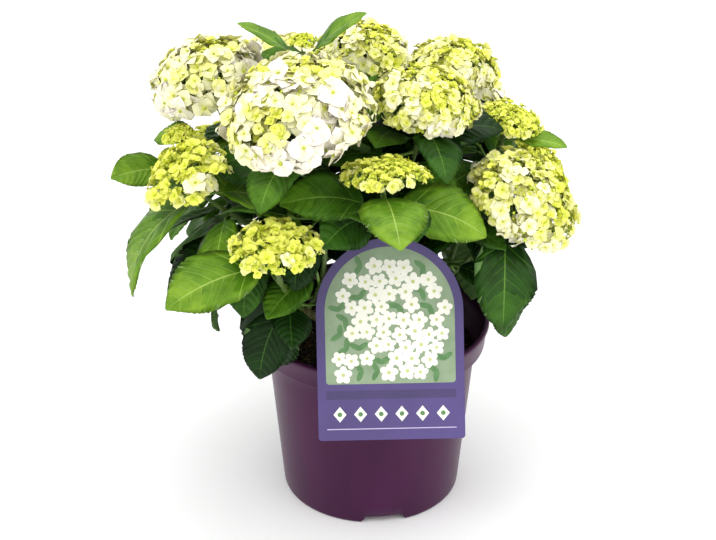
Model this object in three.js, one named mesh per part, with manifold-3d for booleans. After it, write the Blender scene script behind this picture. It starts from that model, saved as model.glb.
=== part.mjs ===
// A potted mophead hydrangea: a purple nursery pot filled with potting mix, a care label hooked over its
// rim, and a low woody crown whose canes carry leafy shoots, each ending in a domed flower head.
//
// Units are millimetres, +Z is up, and the origin is the centre of the flat underside of the pot. The front
// of the plant, where the label hangs, faces -Y. Headings are degrees about +Z, from +X towards +Y.
import * as THREE from "three";
import { mergeVertices } from "three/addons/utils/BufferGeometryUtils.js";
import { ConvexGeometry } from "three/addons/geometries/ConvexGeometry.js";
import Module from "manifold-3d";

const wasm = await Module();
wasm.setup();

// ---------------------------------------------------------------------------------- driving dimensions

const GAP = 0.3; // clear distance between two nodes that touch

const POT = {
  height: 185,
  rimRadius: 115,
  footRadius: 88,
  shoulderRadius: 102, // body wall just under the collar
  collarHeight: 27,
  collarStep: 9, // how far the collar stands out of the body wall
  wall: 2,
  footHeight: 8, // the foot ring lifts the drained part of the base by this much
  footWidth: 7,
  centreDiscRadius: 46, // flat middle of the base, level with the foot ring
  segments: 32,
  notches: 3,
  notchWidth: 40,
  notchHeading: -82,
  drainHoles: 6,
  drainRadius: 5,
};

const MIX = { edgeLevel: 153, centreLevel: 158, wallGap: 0.5 };

const LABEL = {
  width: 135, // the top is a half circle of this diameter
  length: 186,
  thickness: 1.2,
  leanDegrees: 24,
  turnDegrees: 1.2, // in its own plane
  belowRim: 58, // length of card that hangs in front of the pot, below the rim
  offset: 17, // to the right of the pot's axis
  tongueWidth: 26,
  tongueTop: 28, // the tongue leaves the back of the card at this height above the rim
  tongueDrop: 62, // and ends this far below the rim, in the potting mix
  tongueReach: 30, // and this far inside the face of the card
  arcSegments: 20,
  clearInFront: 90, // no leaf hangs in front of the card within this distance
};

const CROWN = { height: 34, footRadius: 21, topRadius: 17, sides: 10 };

const CANE = {
  footRadius: 4.5,
  tipRadius: 3.6,
  knuckleRadius: 7,
  sides: 6,
  rows: 3,
  footReach: 12.5, // from the crown's middle to the foot of a cane
  sag: 8,
};

const STEM = {
  footRadius: 2.5,
  tipRadius: 2.1,
  sides: 4,
  rows: 6,
  startPull: 0.3,
  endPull: 0.25,
  forkRise: 48, // degrees above level at which shoots leave their knuckle
  forkTurn: 124, // degrees from one shoot to the next round the knuckle, or an even share if that is less
};

const LEAF = {
  widthShare: 0.7, // blade width over blade length
  fullness: 1.1, // widens the few corners of the blade to the area of its round outline
  sections: [0.25, 0.6], // where the blade's outline has its corners, as shares of its length
  petiole: 17,
  petioleHalf: 1.6,
  ribHalf: 0.9, // half of the blade's thickness along its midrib
  foldDegrees: 14,
  firstNode: 0.1, // how far below the head the top pair stands, as a share of the stem
  nodeStep: 0.18,
  riseByPair: [22, 12, 2, -8],
  sizeByPair: [0.9, 1.0, 1.0, 0.9],
  jitterByPair: [0.3, 0.8, 1.2, 1.5],
  followLean: 24,
  droop: 46,
  headingJitter: 13,
  riseJitter: 9,
  droopJitter: 18,
  sizeJitter: 0.1,
  rollJitter: 18,
  faceOut: 30, // degrees by which a leaf turns its upper side away from the plant's middle
  innerReach: 60, // distance from the middle within which it does so less
};

// Leaves that stand otherwise than the rule sets them, by shoot and number: degrees added to the heading and
// to the rise, what the length is multiplied by, and degrees added to the roll. A leaf of no length has
// dropped.
const OWN_WAYS = {
  front_mid: { 0: [0, -10, 1.05], 1: [0, 0, 0.75], 2: [-5, -5, 1.05], 3: [-5, 15, 0.95], 5: [-50, -5, 0.85] },
  front_left_low: {
    0: [5, -5, 1.1], 1: [0, 0, 0], 2: [0, 0, 0], 3: [0, 0, 0.7], 5: [0, 0, 0], 6: [0, -25, 0.8],
  },
  right_low: { 0: [-5, -25, 1.15], 2: [0, 0, 0], 5: [15, 0, 0.95] },
  left_mid: { 0: [10, 5, 1.15, 12], 2: [-10, 25, 0.6] },
  top_bud: { 0: [0, -5, 1], 1: [5, 5, 1.05], 3: [40, 5, 0.9] },
  right_upper: { 0: [-5, 20, 0.85, 15] },
  left_low: { 0: [0, 10, 0.95, -45] },
  front_top: { 0: [0, 0, 0.85] },
  right_top: { 0: [-5, 20, 0.9], 2: [10, 20, 0.85, 20] },
  right_back_low: { 0: [-10, 15, 0.75, 30] },
};

// What a leaf tries in turn until it is clear of every other node: shares of its length, and degrees added
// to its heading and to its rise.
const LEAF_TRIES = {
  sizes: [1, 0.82, 0.66],
  turns: [0, 20, -20],
  tilts: [0, 9, -9, 18, -18, 27, -27],
  clearance: 0.5,
};

// Flower heads by ripeness. tuck is the depth of the underside over the rise of the dome.
const STAGES = {
  full: { tuck: 0.55, colour: 0xf3f3dc },
  cream: { tuck: 0.55, colour: 0xeeeebb },
  lime: { tuck: 0.6, colour: 0xd2d868 },
  bud: { tuck: 0.8, colour: 0xa9bd3f },
  leafy: { tuck: 0, colour: 0x3f7a2a },
};

// The relief of a head: its florets, and the heights of a floret's parts as shares of the dome's.
const FLORET = {
  perWidth: 0.155, // florets per millimetre of the head's width
  fewest: 6,
  spread: 1.75, // reach of a sepal over the spacing of the florets
  lowest: -0.32,
  eye: 0.94,
  tip: 1,
  notch: 0.87,
  under: 0.74,
};

// Canes rise from the woody crown. tip is the knuckle where their shoots fork.
const CANES = {
  left: [-66, -12, 243],
  front_left: [-63, -66, 226],
  front: [16, -22, 262],
  right: [70, -22, 236],
  right_back: [54, 58, 240],
  back: [-8, 78, 238],
  left_back: [-66, 52, 240],
  centre: [-14, 8, 285],
};

// One entry is one shoot: its cane and the middle of its flower head; the head's width and rise, its
// ripeness, and how many degrees it leans away from the plant's middle; and its leaves: the heading of the
// top pair, the turn from one pair to the next, how many degrees higher than usual they set out and further
// than usual they bend down, the number of pairs, and the length of a blade. A leafy shoot ends in its top
// pair, with no head.
const SHOOTS = [
  {
    name: "front_mid", cane: "front", head: [9, -106, 384],
    width: 75, rise: 17, stage: "lime", lean: -12,
    turn: 280, spin: 90, lift: 14, sag: 0, pairs: 3, leaf: 86,
  },
  {
    name: "front_left_low", cane: "front_left", head: [-85, -140, 330],
    width: 78, rise: 24, stage: "lime", lean: 4,
    turn: 196, spin: 124, lift: 12, sag: 4, pairs: 4, leaf: 92,
  },
  {
    name: "right_low", cane: "right", head: [137, -40, 326],
    width: 108, rise: 46, stage: "cream", lean: 34,
    turn: 268, spin: 90, lift: -8, sag: 40, pairs: 3, leaf: 92,
  },
  {
    name: "left_mid", cane: "left", head: [-164, -72, 368],
    width: 78, rise: 30, stage: "lime", lean: 28,
    turn: 188, spin: 90, lift: -20, sag: 38, pairs: 3, leaf: 106,
  },
  {
    name: "top_bud", cane: "centre", head: [-63, 5, 466],
    width: 24, rise: 8, stage: "bud", lean: 2,
    turn: 176, spin: 90, lift: 24, sag: -22, pairs: 3, leaf: 60,
  },
  {
    name: "right_upper", cane: "right", head: [127, 20, 381],
    width: 62, rise: 20, stage: "lime", lean: 14,
    turn: -12, spin: 90, lift: 14, sag: -8, pairs: 3, leaf: 62,
  },
  {
    name: "left_low", cane: "left_back", head: [-190, 10, 350],
    width: 22, rise: 8, stage: "bud", lean: 30,
    turn: 208, spin: 90, lift: 8, sag: -16, pairs: 3, leaf: 66,
  },
  {
    name: "front_top", cane: "front_left", head: [-65, -90, 435],
    width: 134, rise: 47, stage: "full", lean: 16,
    turn: 238, spin: 90, lift: -6, sag: 34, pairs: 4, leaf: 90,
  },
  {
    name: "right_top", cane: "front", head: [47, -25, 418],
    width: 94, rise: 32, stage: "cream", lean: 8,
    turn: 276, spin: 90, lift: -8, sag: 30, pairs: 4, leaf: 84,
  },
  {
    name: "left_top", cane: "left", head: [-151, 20, 419],
    width: 106, rise: 42, stage: "full", lean: 18,
    turn: 130, spin: 90, lift: 0, sag: 14, pairs: 4, leaf: 88,
  },
  {
    name: "right_back_top", cane: "right_back", head: [78, 80, 409],
    width: 86, rise: 30, stage: "cream", lean: 10,
    turn: 62, spin: 90, lift: 0, sag: 8, pairs: 4, leaf: 86,
  },
  {
    name: "back_top", cane: "centre", head: [-9, 72, 427],
    width: 88, rise: 30, stage: "cream", lean: 6,
    turn: 60, spin: 90, lift: 0, sag: 0, pairs: 4, leaf: 84,
  },
  {
    name: "left_bud", cane: "left", head: [-178, -15, 383],
    width: 30, rise: 9, stage: "bud", lean: 20,
    turn: 120, spin: 90, lift: 0, sag: 0, pairs: 2, leaf: 54,
  },
  {
    name: "right_back_low", cane: "right_back", head: [156, 104, 304],
    width: 72, rise: 24, stage: "lime", lean: 30,
    turn: 12, spin: 90, lift: 8, sag: 0, pairs: 3, leaf: 80,
  },
  {
    name: "back_left", cane: "left_back", head: [-98, 118, 388],
    width: 104, rise: 38, stage: "full", lean: 18,
    turn: 130, spin: 90, lift: 0, sag: 12, pairs: 4, leaf: 88,
  },
  {
    name: "back_right", cane: "right_back", head: [92, 160, 340],
    width: 96, rise: 36, stage: "full", lean: 26,
    turn: 50, spin: 90, lift: 0, sag: 18, pairs: 4, leaf: 88,
  },
  {
    name: "back_mid", cane: "back", head: [4, 162, 352],
    width: 88, rise: 32, stage: "cream", lean: 24,
    turn: 85, spin: 90, lift: 0, sag: 14, pairs: 4, leaf: 88,
  },
  {
    name: "left_back_low", cane: "left_back", head: [-164, 122, 308],
    width: 76, rise: 26, stage: "lime", lean: 30,
    turn: 150, spin: 90, lift: 4, sag: 12, pairs: 3, leaf: 84,
  },
  {
    name: "back_low", cane: "back", head: [-62, 180, 296],
    width: 66, rise: 22, stage: "lime", lean: 34,
    turn: 100, spin: 90, lift: 0, sag: 22, pairs: 3, leaf: 84,
  },
  {
    name: "inner_front_left", cane: "front_left", head: [-108, -74, 318],
    width: 0, rise: 0, stage: "leafy", lean: 20,
    turn: 262, spin: 90, lift: -4, sag: 14, pairs: 3, leaf: 88,
  },
  {
    name: "inner_front", cane: "front", head: [58, -52, 318],
    width: 0, rise: 0, stage: "leafy", lean: 14,
    turn: 336, spin: 62, lift: -4, sag: 10, pairs: 3, leaf: 64,
  },
  {
    name: "inner_centre", cane: "centre", head: [26, 14, 376],
    width: 0, rise: 0, stage: "leafy", lean: 10,
    turn: 250, spin: 90, lift: 0, sag: 10, pairs: 3, leaf: 84,
  },
  {
    name: "inner_back", cane: "back", head: [-34, 116, 322],
    width: 0, rise: 0, stage: "leafy", lean: 16,
    turn: 60, spin: 90, lift: 0, sag: 10, pairs: 3, leaf: 88,
  },
];

const COLOURS = {
  pot: 0x5a3a55,
  mix: 0x1c1512,
  label: 0x5f4c8c,
  wood: 0x6d5a3c,
  cane: 0x6e7a3c,
};

// ----------------------------------------------------------------------------------- solids and meshes

const radians = THREE.MathUtils.degToRad;

// A closed three.js geometry as a manifold solid.
function solidOf(geometry) {
  const bare = geometry.clone();
  bare.deleteAttribute("normal");
  bare.deleteAttribute("uv");
  const merged = mergeVertices(bare, 1e-4);
  return new wasm.Manifold(
    new wasm.Mesh({
      numProp: 3,
      vertProperties: new Float32Array(merged.attributes.position.array),
      triVerts: new Uint32Array(merged.index.array),
    }),
  );
}

function geometryOf(solid) {
  const mesh = solid.getMesh();
  const geometry = new THREE.BufferGeometry();
  geometry.setAttribute("position", new THREE.BufferAttribute(mesh.vertProperties, 3));
  geometry.setIndex(new THREE.BufferAttribute(mesh.triVerts, 1));
  geometry.computeVertexNormals();
  return geometry;
}

function named(name, geometry, colour, roughness = 0.7) {
  const material = new THREE.MeshStandardMaterial({ color: colour, roughness, metalness: 0 });
  const mesh = new THREE.Mesh(geometry, material);
  mesh.name = name;
  return mesh;
}

// A lathe profile of [radius, height] pairs, up the outside and back down the inside, turned about +Z.
function turned(profile, segments) {
  const points = profile.map(([radius, height]) => new THREE.Vector2(radius, height));
  return new THREE.LatheGeometry(points, segments).rotateX(Math.PI / 2);
}

// A tapering limb: a closed cylinder whose rows are carried along a curve.
function limb(curve, footRadius, tipRadius, sides, rows) {
  const geometry = new THREE.CylinderGeometry(1, 1, 1, sides, rows);
  const frames = curve.computeFrenetFrames(rows, false);
  const position = geometry.attributes.position;
  for (let i = 0; i < position.count; i++) {
    const share = position.getY(i) + 0.5;
    const row = Math.round(share * rows);
    const radius = THREE.MathUtils.lerp(footRadius, tipRadius, share);
    const point = curve
      .getPointAt(row / rows)
      .addScaledVector(frames.normals[row], -radius * position.getX(i))
      .addScaledVector(frames.binormals[row], radius * position.getZ(i));
    position.setXYZ(i, point.x, point.y, point.z);
  }
  return solidOf(geometry);
}

// --------------------------------------------------------------------------------------------- the pot

function potWallRadius(height) {
  return THREE.MathUtils.lerp(POT.footRadius, POT.shoulderRadius, height / (POT.height - POT.collarHeight));
}

function makePot() {
  const { height, rimRadius, wall, footHeight, footWidth, centreDiscRadius: disc } = POT;
  const shoulder = height - POT.collarHeight;
  const collar = POT.shoulderRadius + POT.collarStep;
  const roof = POT.footRadius - footWidth - 2;
  const profile = [
    [0, 0],
    [disc, 0],
    [disc + 4, footHeight],
    [roof, footHeight],
    [roof + 2, 0],
    [POT.footRadius - 1.5, 0],
    [POT.footRadius, 1.5],
    [POT.shoulderRadius, shoulder],
    [collar, shoulder + 3],
    [rimRadius - 1.5, height - 4],
    [rimRadius, height - 2.5],
    [rimRadius - 1, height],
    [rimRadius - 4, height],
    [rimRadius - 4.5, height - 3],
    [collar - wall, shoulder + 4.5],
    [POT.shoulderRadius - wall, shoulder + 1.5],
    [potWallRadius(footHeight + wall) - wall, footHeight + wall],
    [disc + 2.5, footHeight + wall],
    [disc - 1.5, wall],
    [0, wall],
  ];
  let pot = solidOf(turned(profile, POT.segments));
  for (let i = 0; i < POT.notches; i++) {
    pot = pot.subtract(solidOf(notch(POT.notchHeading + (i * 360) / POT.notches)));
  }
  for (let i = 0; i < POT.drainHoles; i++) {
    const heading = radians(20 + (i * 360) / POT.drainHoles);
    const reach = (disc + roof) / 2 + 1;
    const hole = new THREE.CylinderGeometry(POT.drainRadius, POT.drainRadius, 30, 8)
      .rotateX(Math.PI / 2)
      .translate(reach * Math.cos(heading), reach * Math.sin(heading), footHeight);
    pot = pot.subtract(solidOf(hole));
  }
  return named("pot", geometryOf(pot), COLOURS.pot, 0.45);
}

// A cut with sloping ends through the foot ring, as tall as the foot.
function notch(heading) {
  const half = POT.notchWidth / 2;
  const outline = new THREE.Shape([
    new THREE.Vector2(-half - 2, -2),
    new THREE.Vector2(half + 2, -2),
    new THREE.Vector2(half - 4, POT.footHeight),
    new THREE.Vector2(-half + 4, POT.footHeight),
  ]);
  return new THREE.ExtrudeGeometry(outline, { depth: 24, bevelEnabled: false })
    .rotateX(Math.PI / 2)
    .translate(0, POT.footRadius + 6, 0)
    .rotateZ(radians(heading - 90));
}

// ------------------------------------------------------------------------------------- the potting mix

function makeMix(tongueSlot) {
  const inset = POT.wall + MIX.wallGap;
  const floor = POT.footHeight + POT.wall + GAP;
  const profile = [
    [0, floor],
    [potWallRadius(floor) - inset, floor],
    [potWallRadius(MIX.edgeLevel) - inset, MIX.edgeLevel],
    [potWallRadius(MIX.edgeLevel) * 0.6, MIX.centreLevel - 1.5],
    [CROWN.footRadius + 8, MIX.centreLevel],
    [0, MIX.centreLevel],
  ];
  const mix = solidOf(turned(profile, POT.segments)).subtract(tongueSlot);
  return named("potting_mix", geometryOf(mix), COLOURS.mix, 0.95);
}

// -------------------------------------------------------------------------------------- the care label

// Moves a piece of the label from its own frame, with the rim's edge at the origin, to the pot.
const onRim = (geometry) => geometry.translate(LABEL.offset, -POT.rimRadius - GAP, POT.height);

// The card, with its half-round top, leaning back on the rim. Its thickness grows out of its face.
function labelCard(thickness) {
  const half = LABEL.width / 2;
  const shoulder = LABEL.length - LABEL.belowRim - half;
  const outline = new THREE.Shape();
  outline.moveTo(-half, -LABEL.belowRim);
  outline.lineTo(half, -LABEL.belowRim);
  outline.lineTo(half, shoulder);
  outline.absarc(0, shoulder, half, 0, Math.PI, false);
  const card = new THREE.ExtrudeGeometry(outline, {
    depth: thickness,
    bevelEnabled: false,
    curveSegments: LABEL.arcSegments,
  });
  card.rotateZ(radians(LABEL.turnDegrees)).rotateX(Math.PI / 2 - radians(LABEL.leanDegrees));
  return solidOf(onRim(card));
}

// The tongue leaves the back of the card above the rim and runs down into the potting mix. grow widens it on
// every side, for the slot that it stands in.
function labelTongue(grow = 0) {
  const lean = radians(LABEL.leanDegrees);
  const slab = 1.25 * LABEL.thickness;
  const insideCard = (height) => height * Math.tan(lean) - LABEL.thickness / (2 * Math.cos(lean));
  const top = LABEL.tongueTop;
  const bottom = -LABEL.tongueDrop - grow;
  const strip = new THREE.Shape([
    new THREE.Vector2(insideCard(top) - grow, top),
    new THREE.Vector2(LABEL.tongueReach - grow, bottom),
    new THREE.Vector2(LABEL.tongueReach + slab + grow, bottom),
    new THREE.Vector2(insideCard(top + 1.5 * slab) + grow, top + 1.5 * slab),
  ]);
  const width = LABEL.tongueWidth + 2 * grow;
  const tongue = new THREE.ExtrudeGeometry(strip, { depth: width, bevelEnabled: false })
    .rotateX(Math.PI / 2)
    .rotateZ(Math.PI / 2)
    .translate(-width / 2, 0, 0);
  return solidOf(onRim(tongue));
}

// ----------------------------------------------------------------------- the woody crown and its canes

// The stump flares to a flat cut on the potting mix. grow enlarges it, to cut the canes clear of it.
function crownSolid(grow = 0) {
  const { height, footRadius, topRadius, sides } = CROWN;
  const base = MIX.centreLevel + GAP;
  const profile = [
    [0, base - grow],
    [footRadius + grow, base - grow],
    [footRadius - 3 + grow, base + 7],
    [topRadius + grow, base + height * 0.55],
    [topRadius * 0.75 + grow, base + height * 0.9 + grow],
    [0, base + height + grow],
  ];
  return solidOf(turned(profile, sides));
}

// The centre cane stands on top of the crown, and the others are spaced evenly round it, as listed.
function caneCurve(name) {
  const ring = Object.keys(CANES).filter((other) => other !== "centre");
  const [x, y] = CANES[ring[0]];
  const heading = Math.atan2(y, x) + (ring.indexOf(name) * 2 * Math.PI) / ring.length;
  const reach = ring.includes(name) ? CANE.footReach : 0;
  const foot = new THREE.Vector3(
    reach * Math.cos(heading),
    reach * Math.sin(heading),
    MIX.centreLevel + CROWN.height * 0.6,
  );
  const end = new THREE.Vector3(...CANES[name]);
  const bend = foot.clone().lerp(end, 0.5).add(new THREE.Vector3(0, 0, -CANE.sag));
  return new THREE.QuadraticBezierCurve3(foot, bend, end);
}

// The swollen node at the tip of a cane. grow enlarges it, to cut the stems of its shoots clear of it.
function knuckleSolid(name, grow = 0) {
  return solidOf(new THREE.SphereGeometry(CANE.knuckleRadius + grow, 8, 6).translate(...CANES[name]));
}

function caneSolid(name) {
  return limb(caneCurve(name), CANE.footRadius, CANE.tipRadius, CANE.sides, CANE.rows)
    .add(knuckleSolid(name))
    .subtract(crownSolid(GAP));
}

// ------------------------------------------------------------------------------------------ the shoots

// A number from 0 to 1 that depends only on the shoot, the leaf or floret, and what it is for.
function chance(shoot, part, use) {
  let h = Math.imul(shoot + 1, 374761393) + Math.imul(part + 1, 668265263);
  h = (h + Math.imul(use + 1, 2147483629)) >>> 0;
  h = Math.imul(h ^ (h >>> 13), 1274126177) >>> 0;
  h = Math.imul(h ^ (h >>> 16), 2246822519) >>> 0;
  return ((h ^ (h >>> 15)) >>> 0) / 4294967296;
}

const jitter = (shoot, part, use, amount) => (2 * chance(shoot, part, use) - 1) * amount;

// The direction at a heading and at a rise above level, both in radians.
function wayOf(heading, rise) {
  const level = Math.cos(rise);
  return new THREE.Vector3(level * Math.cos(heading), level * Math.sin(heading), Math.sin(rise));
}

// The axis of a head leans away from the plant's middle.
function headAxis(shoot) {
  const [x, y] = shoot.head;
  const heading = Math.atan2(y, x);
  return wayOf(heading, Math.PI / 2 - radians(shoot.lean));
}

// The way in which a shoot leaves its knuckle. The shoots of one cane are set round it in the order of their
// heads.
function forkWay(shoot) {
  const [x, y] = CANES[shoot.cane];
  const headingOf = ({ head }) => Math.atan2(head[1] - y, head[0] - x);
  const mates = SHOOTS.filter(({ cane }) => cane === shoot.cane);
  const sumX = mates.reduce((sum, mate) => sum + Math.cos(headingOf(mate)), 0);
  const sumY = mates.reduce((sum, mate) => sum + Math.sin(headingOf(mate)), 0);
  const middle = Math.atan2(sumY, sumX);
  const fromMiddle = (mate) => {
    const turn = headingOf(mate) - middle;
    return Math.atan2(Math.sin(turn), Math.cos(turn));
  };
  const place = mates.filter((mate) => fromMiddle(mate) < fromMiddle(shoot)).length;
  const step = radians(Math.min(STEM.forkTurn, 360 / mates.length));
  return wayOf(middle + (place - (mates.length - 1) / 2) * step, radians(STEM.forkRise));
}

// The stem leaves its cane's knuckle and meets the underside of the head along the head's axis.
function stemCurve(shoot) {
  const axis = headAxis(shoot);
  const start = new THREE.Vector3(...CANES[shoot.cane]);
  const head = new THREE.Vector3(...shoot.head);
  const end = head.clone().addScaledVector(axis, -shoot.rise * STAGES[shoot.stage].tuck * 0.7);
  const reach = start.distanceTo(end);
  return new THREE.CubicBezierCurve3(
    start,
    start.clone().addScaledVector(forkWay(shoot), reach * STEM.startPull),
    end.clone().addScaledVector(axis, -reach * STEM.endPull),
    end,
  );
}

function stemSolid(shoot) {
  const stem = limb(stemCurve(shoot), STEM.footRadius, STEM.tipRadius, STEM.sides, STEM.rows);
  return stem.subtract(knuckleSolid(shoot.cane, 1.2 * GAP));
}

// The skin of a flower head over the unit sphere: a list of directions, and the height of the skin in each.
// It rises to four sepal tips round the eye of each floret, and dips between them. The florets lie on a
// golden spiral.
function headSkin(shoot, index) {
  const skin = [];
  const add = (direction, height) => skin.push({ direction: direction.normalize(), height });
  const count = Math.max(FLORET.fewest, Math.round(shoot.width * FLORET.perWidth));
  const spread = FLORET.spread / Math.sqrt(count);
  for (let i = 0; i < count; i++) {
    const level = 1 - ((i + 0.5) / count) * (1 - FLORET.lowest);
    const turn = i * Math.PI * (3 - Math.sqrt(5)) + jitter(index, i, 20, 0.2);
    const ring = Math.sqrt(1 - level * level);
    const eye = new THREE.Vector3(ring * Math.cos(turn), ring * Math.sin(turn), level);
    const side = new THREE.Vector3(-Math.sin(turn), Math.cos(turn), 0);
    const upward = new THREE.Vector3().crossVectors(eye, side);
    const spin = chance(index, i, 21) * Math.PI;
    add(eye.clone(), FLORET.eye + jitter(index, i, 22, 0.02));
    for (let j = 0; j < 8; j++) {
      const angle = spin + (j * Math.PI) / 4;
      const isTip = j % 2 === 0;
      const offset = side.clone().multiplyScalar(Math.cos(angle)).addScaledVector(upward, Math.sin(angle));
      const reach = spread * (isTip ? 1 : 0.52);
      const height = isTip ? FLORET.tip + jitter(index, i * 8 + j, 23, 0.03) : FLORET.notch;
      add(eye.clone().addScaledVector(offset, reach), height);
    }
  }
  for (let j = 0; j < 6; j++) {
    const turn = (j * Math.PI) / 3;
    add(new THREE.Vector3(0.55 * Math.cos(turn), 0.55 * Math.sin(turn), -0.83), FLORET.under);
  }
  add(new THREE.Vector3(0, 0, -1), FLORET.under);
  return skin;
}

// A flower head: its skin scaled to the head's width, rise and tucked underside, round the head's own axis.
function headSolid(shoot, index) {
  const skin = headSkin(shoot, index);
  const hull = new ConvexGeometry(skin.map((spot) => spot.direction));
  const axis = headAxis(shoot);
  const across = new THREE.Vector3(0, 1, 0).cross(axis).normalize();
  const along = axis.clone().cross(across);
  const centre = new THREE.Vector3(...shoot.head);
  const position = hull.attributes.position;
  for (let i = 0; i < position.count; i++) {
    const way = new THREE.Vector3().fromBufferAttribute(position, i);
    const { height } = skin.find(({ direction }) => direction.distanceToSquared(way) < 1e-8);
    const half = (shoot.width / 2) * height;
    const depth = shoot.rise * (way.z > 0 ? 1 : STAGES[shoot.stage].tuck) * height;
    const point = centre
      .clone()
      .addScaledVector(across, way.x * half)
      .addScaledVector(along, way.y * half)
      .addScaledVector(axis, way.z * depth);
    position.setXYZ(i, point.x, point.y, point.z);
  }
  return solidOf(hull);
}

// How one leaf sits: its root on the stem, the vertical plane in which its midrib bends down, and its roll
// about the midrib, which turns its face outwards. A leaf on the side to which its stem leans sets out lower.
function leafPose(shoot, index, pair, side) {
  const part = pair * 2 + side;
  const curve = stemCurve(shoot);
  const share = 1 - LEAF.firstNode - pair * LEAF.nodeStep;
  const stray = (use, amount) => jitter(index, part, use, amount * LEAF.jitterByPair[pair]);
  const [ownTurn, ownTilt, ownSize, ownRoll = 0] = OWN_WAYS[shoot.name]?.[part] ?? [0, 0, 1];
  const usualHeading = shoot.turn + shoot.spin * pair + 180 * side;
  const heading = radians(usualHeading + ownTurn + stray(0, LEAF.headingJitter));
  const root = curve.getPoint(share);
  const stemWay = curve.getTangent(share);
  const leaning = Math.cos(heading) * stemWay.x + Math.sin(heading) * stemWay.y;
  const sideways = Math.cos(heading) * root.y - Math.sin(heading) * root.x;
  const outward = sideways / Math.max(LEAF.innerReach, Math.hypot(root.x, root.y));
  const usualRise = LEAF.riseByPair[pair] - LEAF.followLean * leaning;
  return {
    root,
    heading,
    rise: radians(usualRise + shoot.lift + ownTilt + stray(1, LEAF.riseJitter)),
    droop: radians(LEAF.droop + shoot.sag + stray(2, LEAF.droopJitter)),
    length: shoot.leaf * LEAF.sizeByPair[pair] * ownSize * (1 + stray(3, LEAF.sizeJitter)),
    roll: radians(stray(4, LEAF.rollJitter) - LEAF.faceOut * outward + ownRoll),
  };
}

// The midrib is an arc of a circle in a vertical plane. Returns the point at a run along it, and the frame
// there.
function midribAt(pose, run) {
  const bend = pose.droop / (LEAF.petiole + pose.length);
  const slope = pose.rise - bend * run;
  const forward = (Math.sin(pose.rise) - Math.sin(slope)) / bend;
  const upward = (Math.cos(slope) - Math.cos(pose.rise)) / bend;
  const out = wayOf(pose.heading, 0);
  const level = new THREE.Vector3(-out.y, out.x, 0);
  const normal = wayOf(pose.heading, slope).cross(level);
  const [cos, sin] = [Math.cos(pose.roll), Math.sin(pose.roll)];
  return {
    point: pose.root.clone().addScaledVector(out, forward).add(new THREE.Vector3(0, 0, upward)),
    side: level.clone().multiplyScalar(cos).addScaledVector(normal, sin),
    normal: normal.multiplyScalar(cos).addScaledVector(level, -sin),
  };
}

// Half the blade's width at a share of its length, from 0 at the base over 1 to 0 at the pointed tip.
const bladeOutline = (share) => 3.026 * share ** 0.68 * (1 - share) ** 0.95;

// A leaf: a petiole and a blade with a raised midrib and folded sides, as one closed skin of four-cornered
// sections that ends in a point. For testing that it is clear, grow swells it and start leaves out its root.
function leafSolid(pose, grow = 0, start = 0) {
  const fold = radians(LEAF.foldDegrees);
  const stations = [
    { run: start, half: LEAF.petioleHalf, rib: LEAF.petioleHalf * 0.8 },
    { run: LEAF.petiole, half: LEAF.petioleHalf, rib: LEAF.petioleHalf * 0.8 },
    ...LEAF.sections.map((share) => ({
      run: LEAF.petiole + share * pose.length,
      half: (pose.length * LEAF.widthShare * LEAF.fullness * bladeOutline(share)) / 2,
      rib: LEAF.ribHalf,
    })),
  ];
  const corners = [];
  for (const { run, half, rib } of stations) {
    const { point, side, normal } = midribAt(pose, run);
    const edge = (sign) =>
      point
        .clone()
        .addScaledVector(side, sign * (half * Math.cos(fold) + grow))
        .addScaledVector(normal, half * Math.sin(fold));
    corners.push(edge(1), point.clone().addScaledVector(normal, rib + grow));
    corners.push(edge(-1), point.clone().addScaledVector(normal, -rib - grow));
  }
  const tip = midribAt(pose, LEAF.petiole + pose.length + grow);
  corners.push(tip.point);
  const faces = [0, 3, 2, 0, 2, 1];
  for (let i = 0; i < stations.length - 1; i++) {
    for (let j = 0; j < 4; j++) {
      const [a, b] = [4 * i + j, 4 * i + ((j + 1) % 4)];
      faces.push(a, b, b + 4, a, b + 4, a + 4);
    }
  }
  const last = 4 * (stations.length - 1);
  for (let j = 0; j < 4; j++) faces.push(last + j, last + ((j + 1) % 4), corners.length - 1);
  const geometry = new THREE.BufferGeometry().setFromPoints(corners);
  geometry.setIndex(faces);
  return solidOf(geometry);
}

// ---------------------------------------------------------------------------------------- the assembly

// What stands already, with its box, so that a leaf can be tested against what is near.
const standing = [];

function stand(owner, solid) {
  standing.push({ owner, solid, box: solid.boundingBox() });
}

// Whether a solid touches none of what stands already and belongs to an owner that counts.
function isClear(solid, counts) {
  const { min, max } = solid.boundingBox();
  return standing.every(
    (other) =>
      !counts(other.owner) ||
      [0, 1, 2].some((k) => min[k] > other.box.max[k] || max[k] < other.box.min[k]) ||
      solid.intersect(other.solid).isEmpty(),
  );
}

// The first of the leaf's tries that touches no other node, and whose blade is clear of its own shoot, or
// null.
function fittedLeaf(shoot, pose) {
  const isOwn = (owner) => owner === shoot.name;
  for (const size of LEAF_TRIES.sizes) {
    for (const turn of LEAF_TRIES.turns) {
      for (const tilt of LEAF_TRIES.tilts) {
        const tried = {
          ...pose,
          length: pose.length * size,
          heading: pose.heading + radians(turn),
          rise: pose.rise + radians(tilt),
        };
        const swollen = leafSolid(tried, LEAF_TRIES.clearance);
        const blade = leafSolid(tried, 0, LEAF.petiole * 0.6);
        if (isClear(swollen, (owner) => !isOwn(owner)) && isClear(blade, isOwn)) {
          return leafSolid(tried);
        }
      }
    }
  }
  return null;
}

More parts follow.
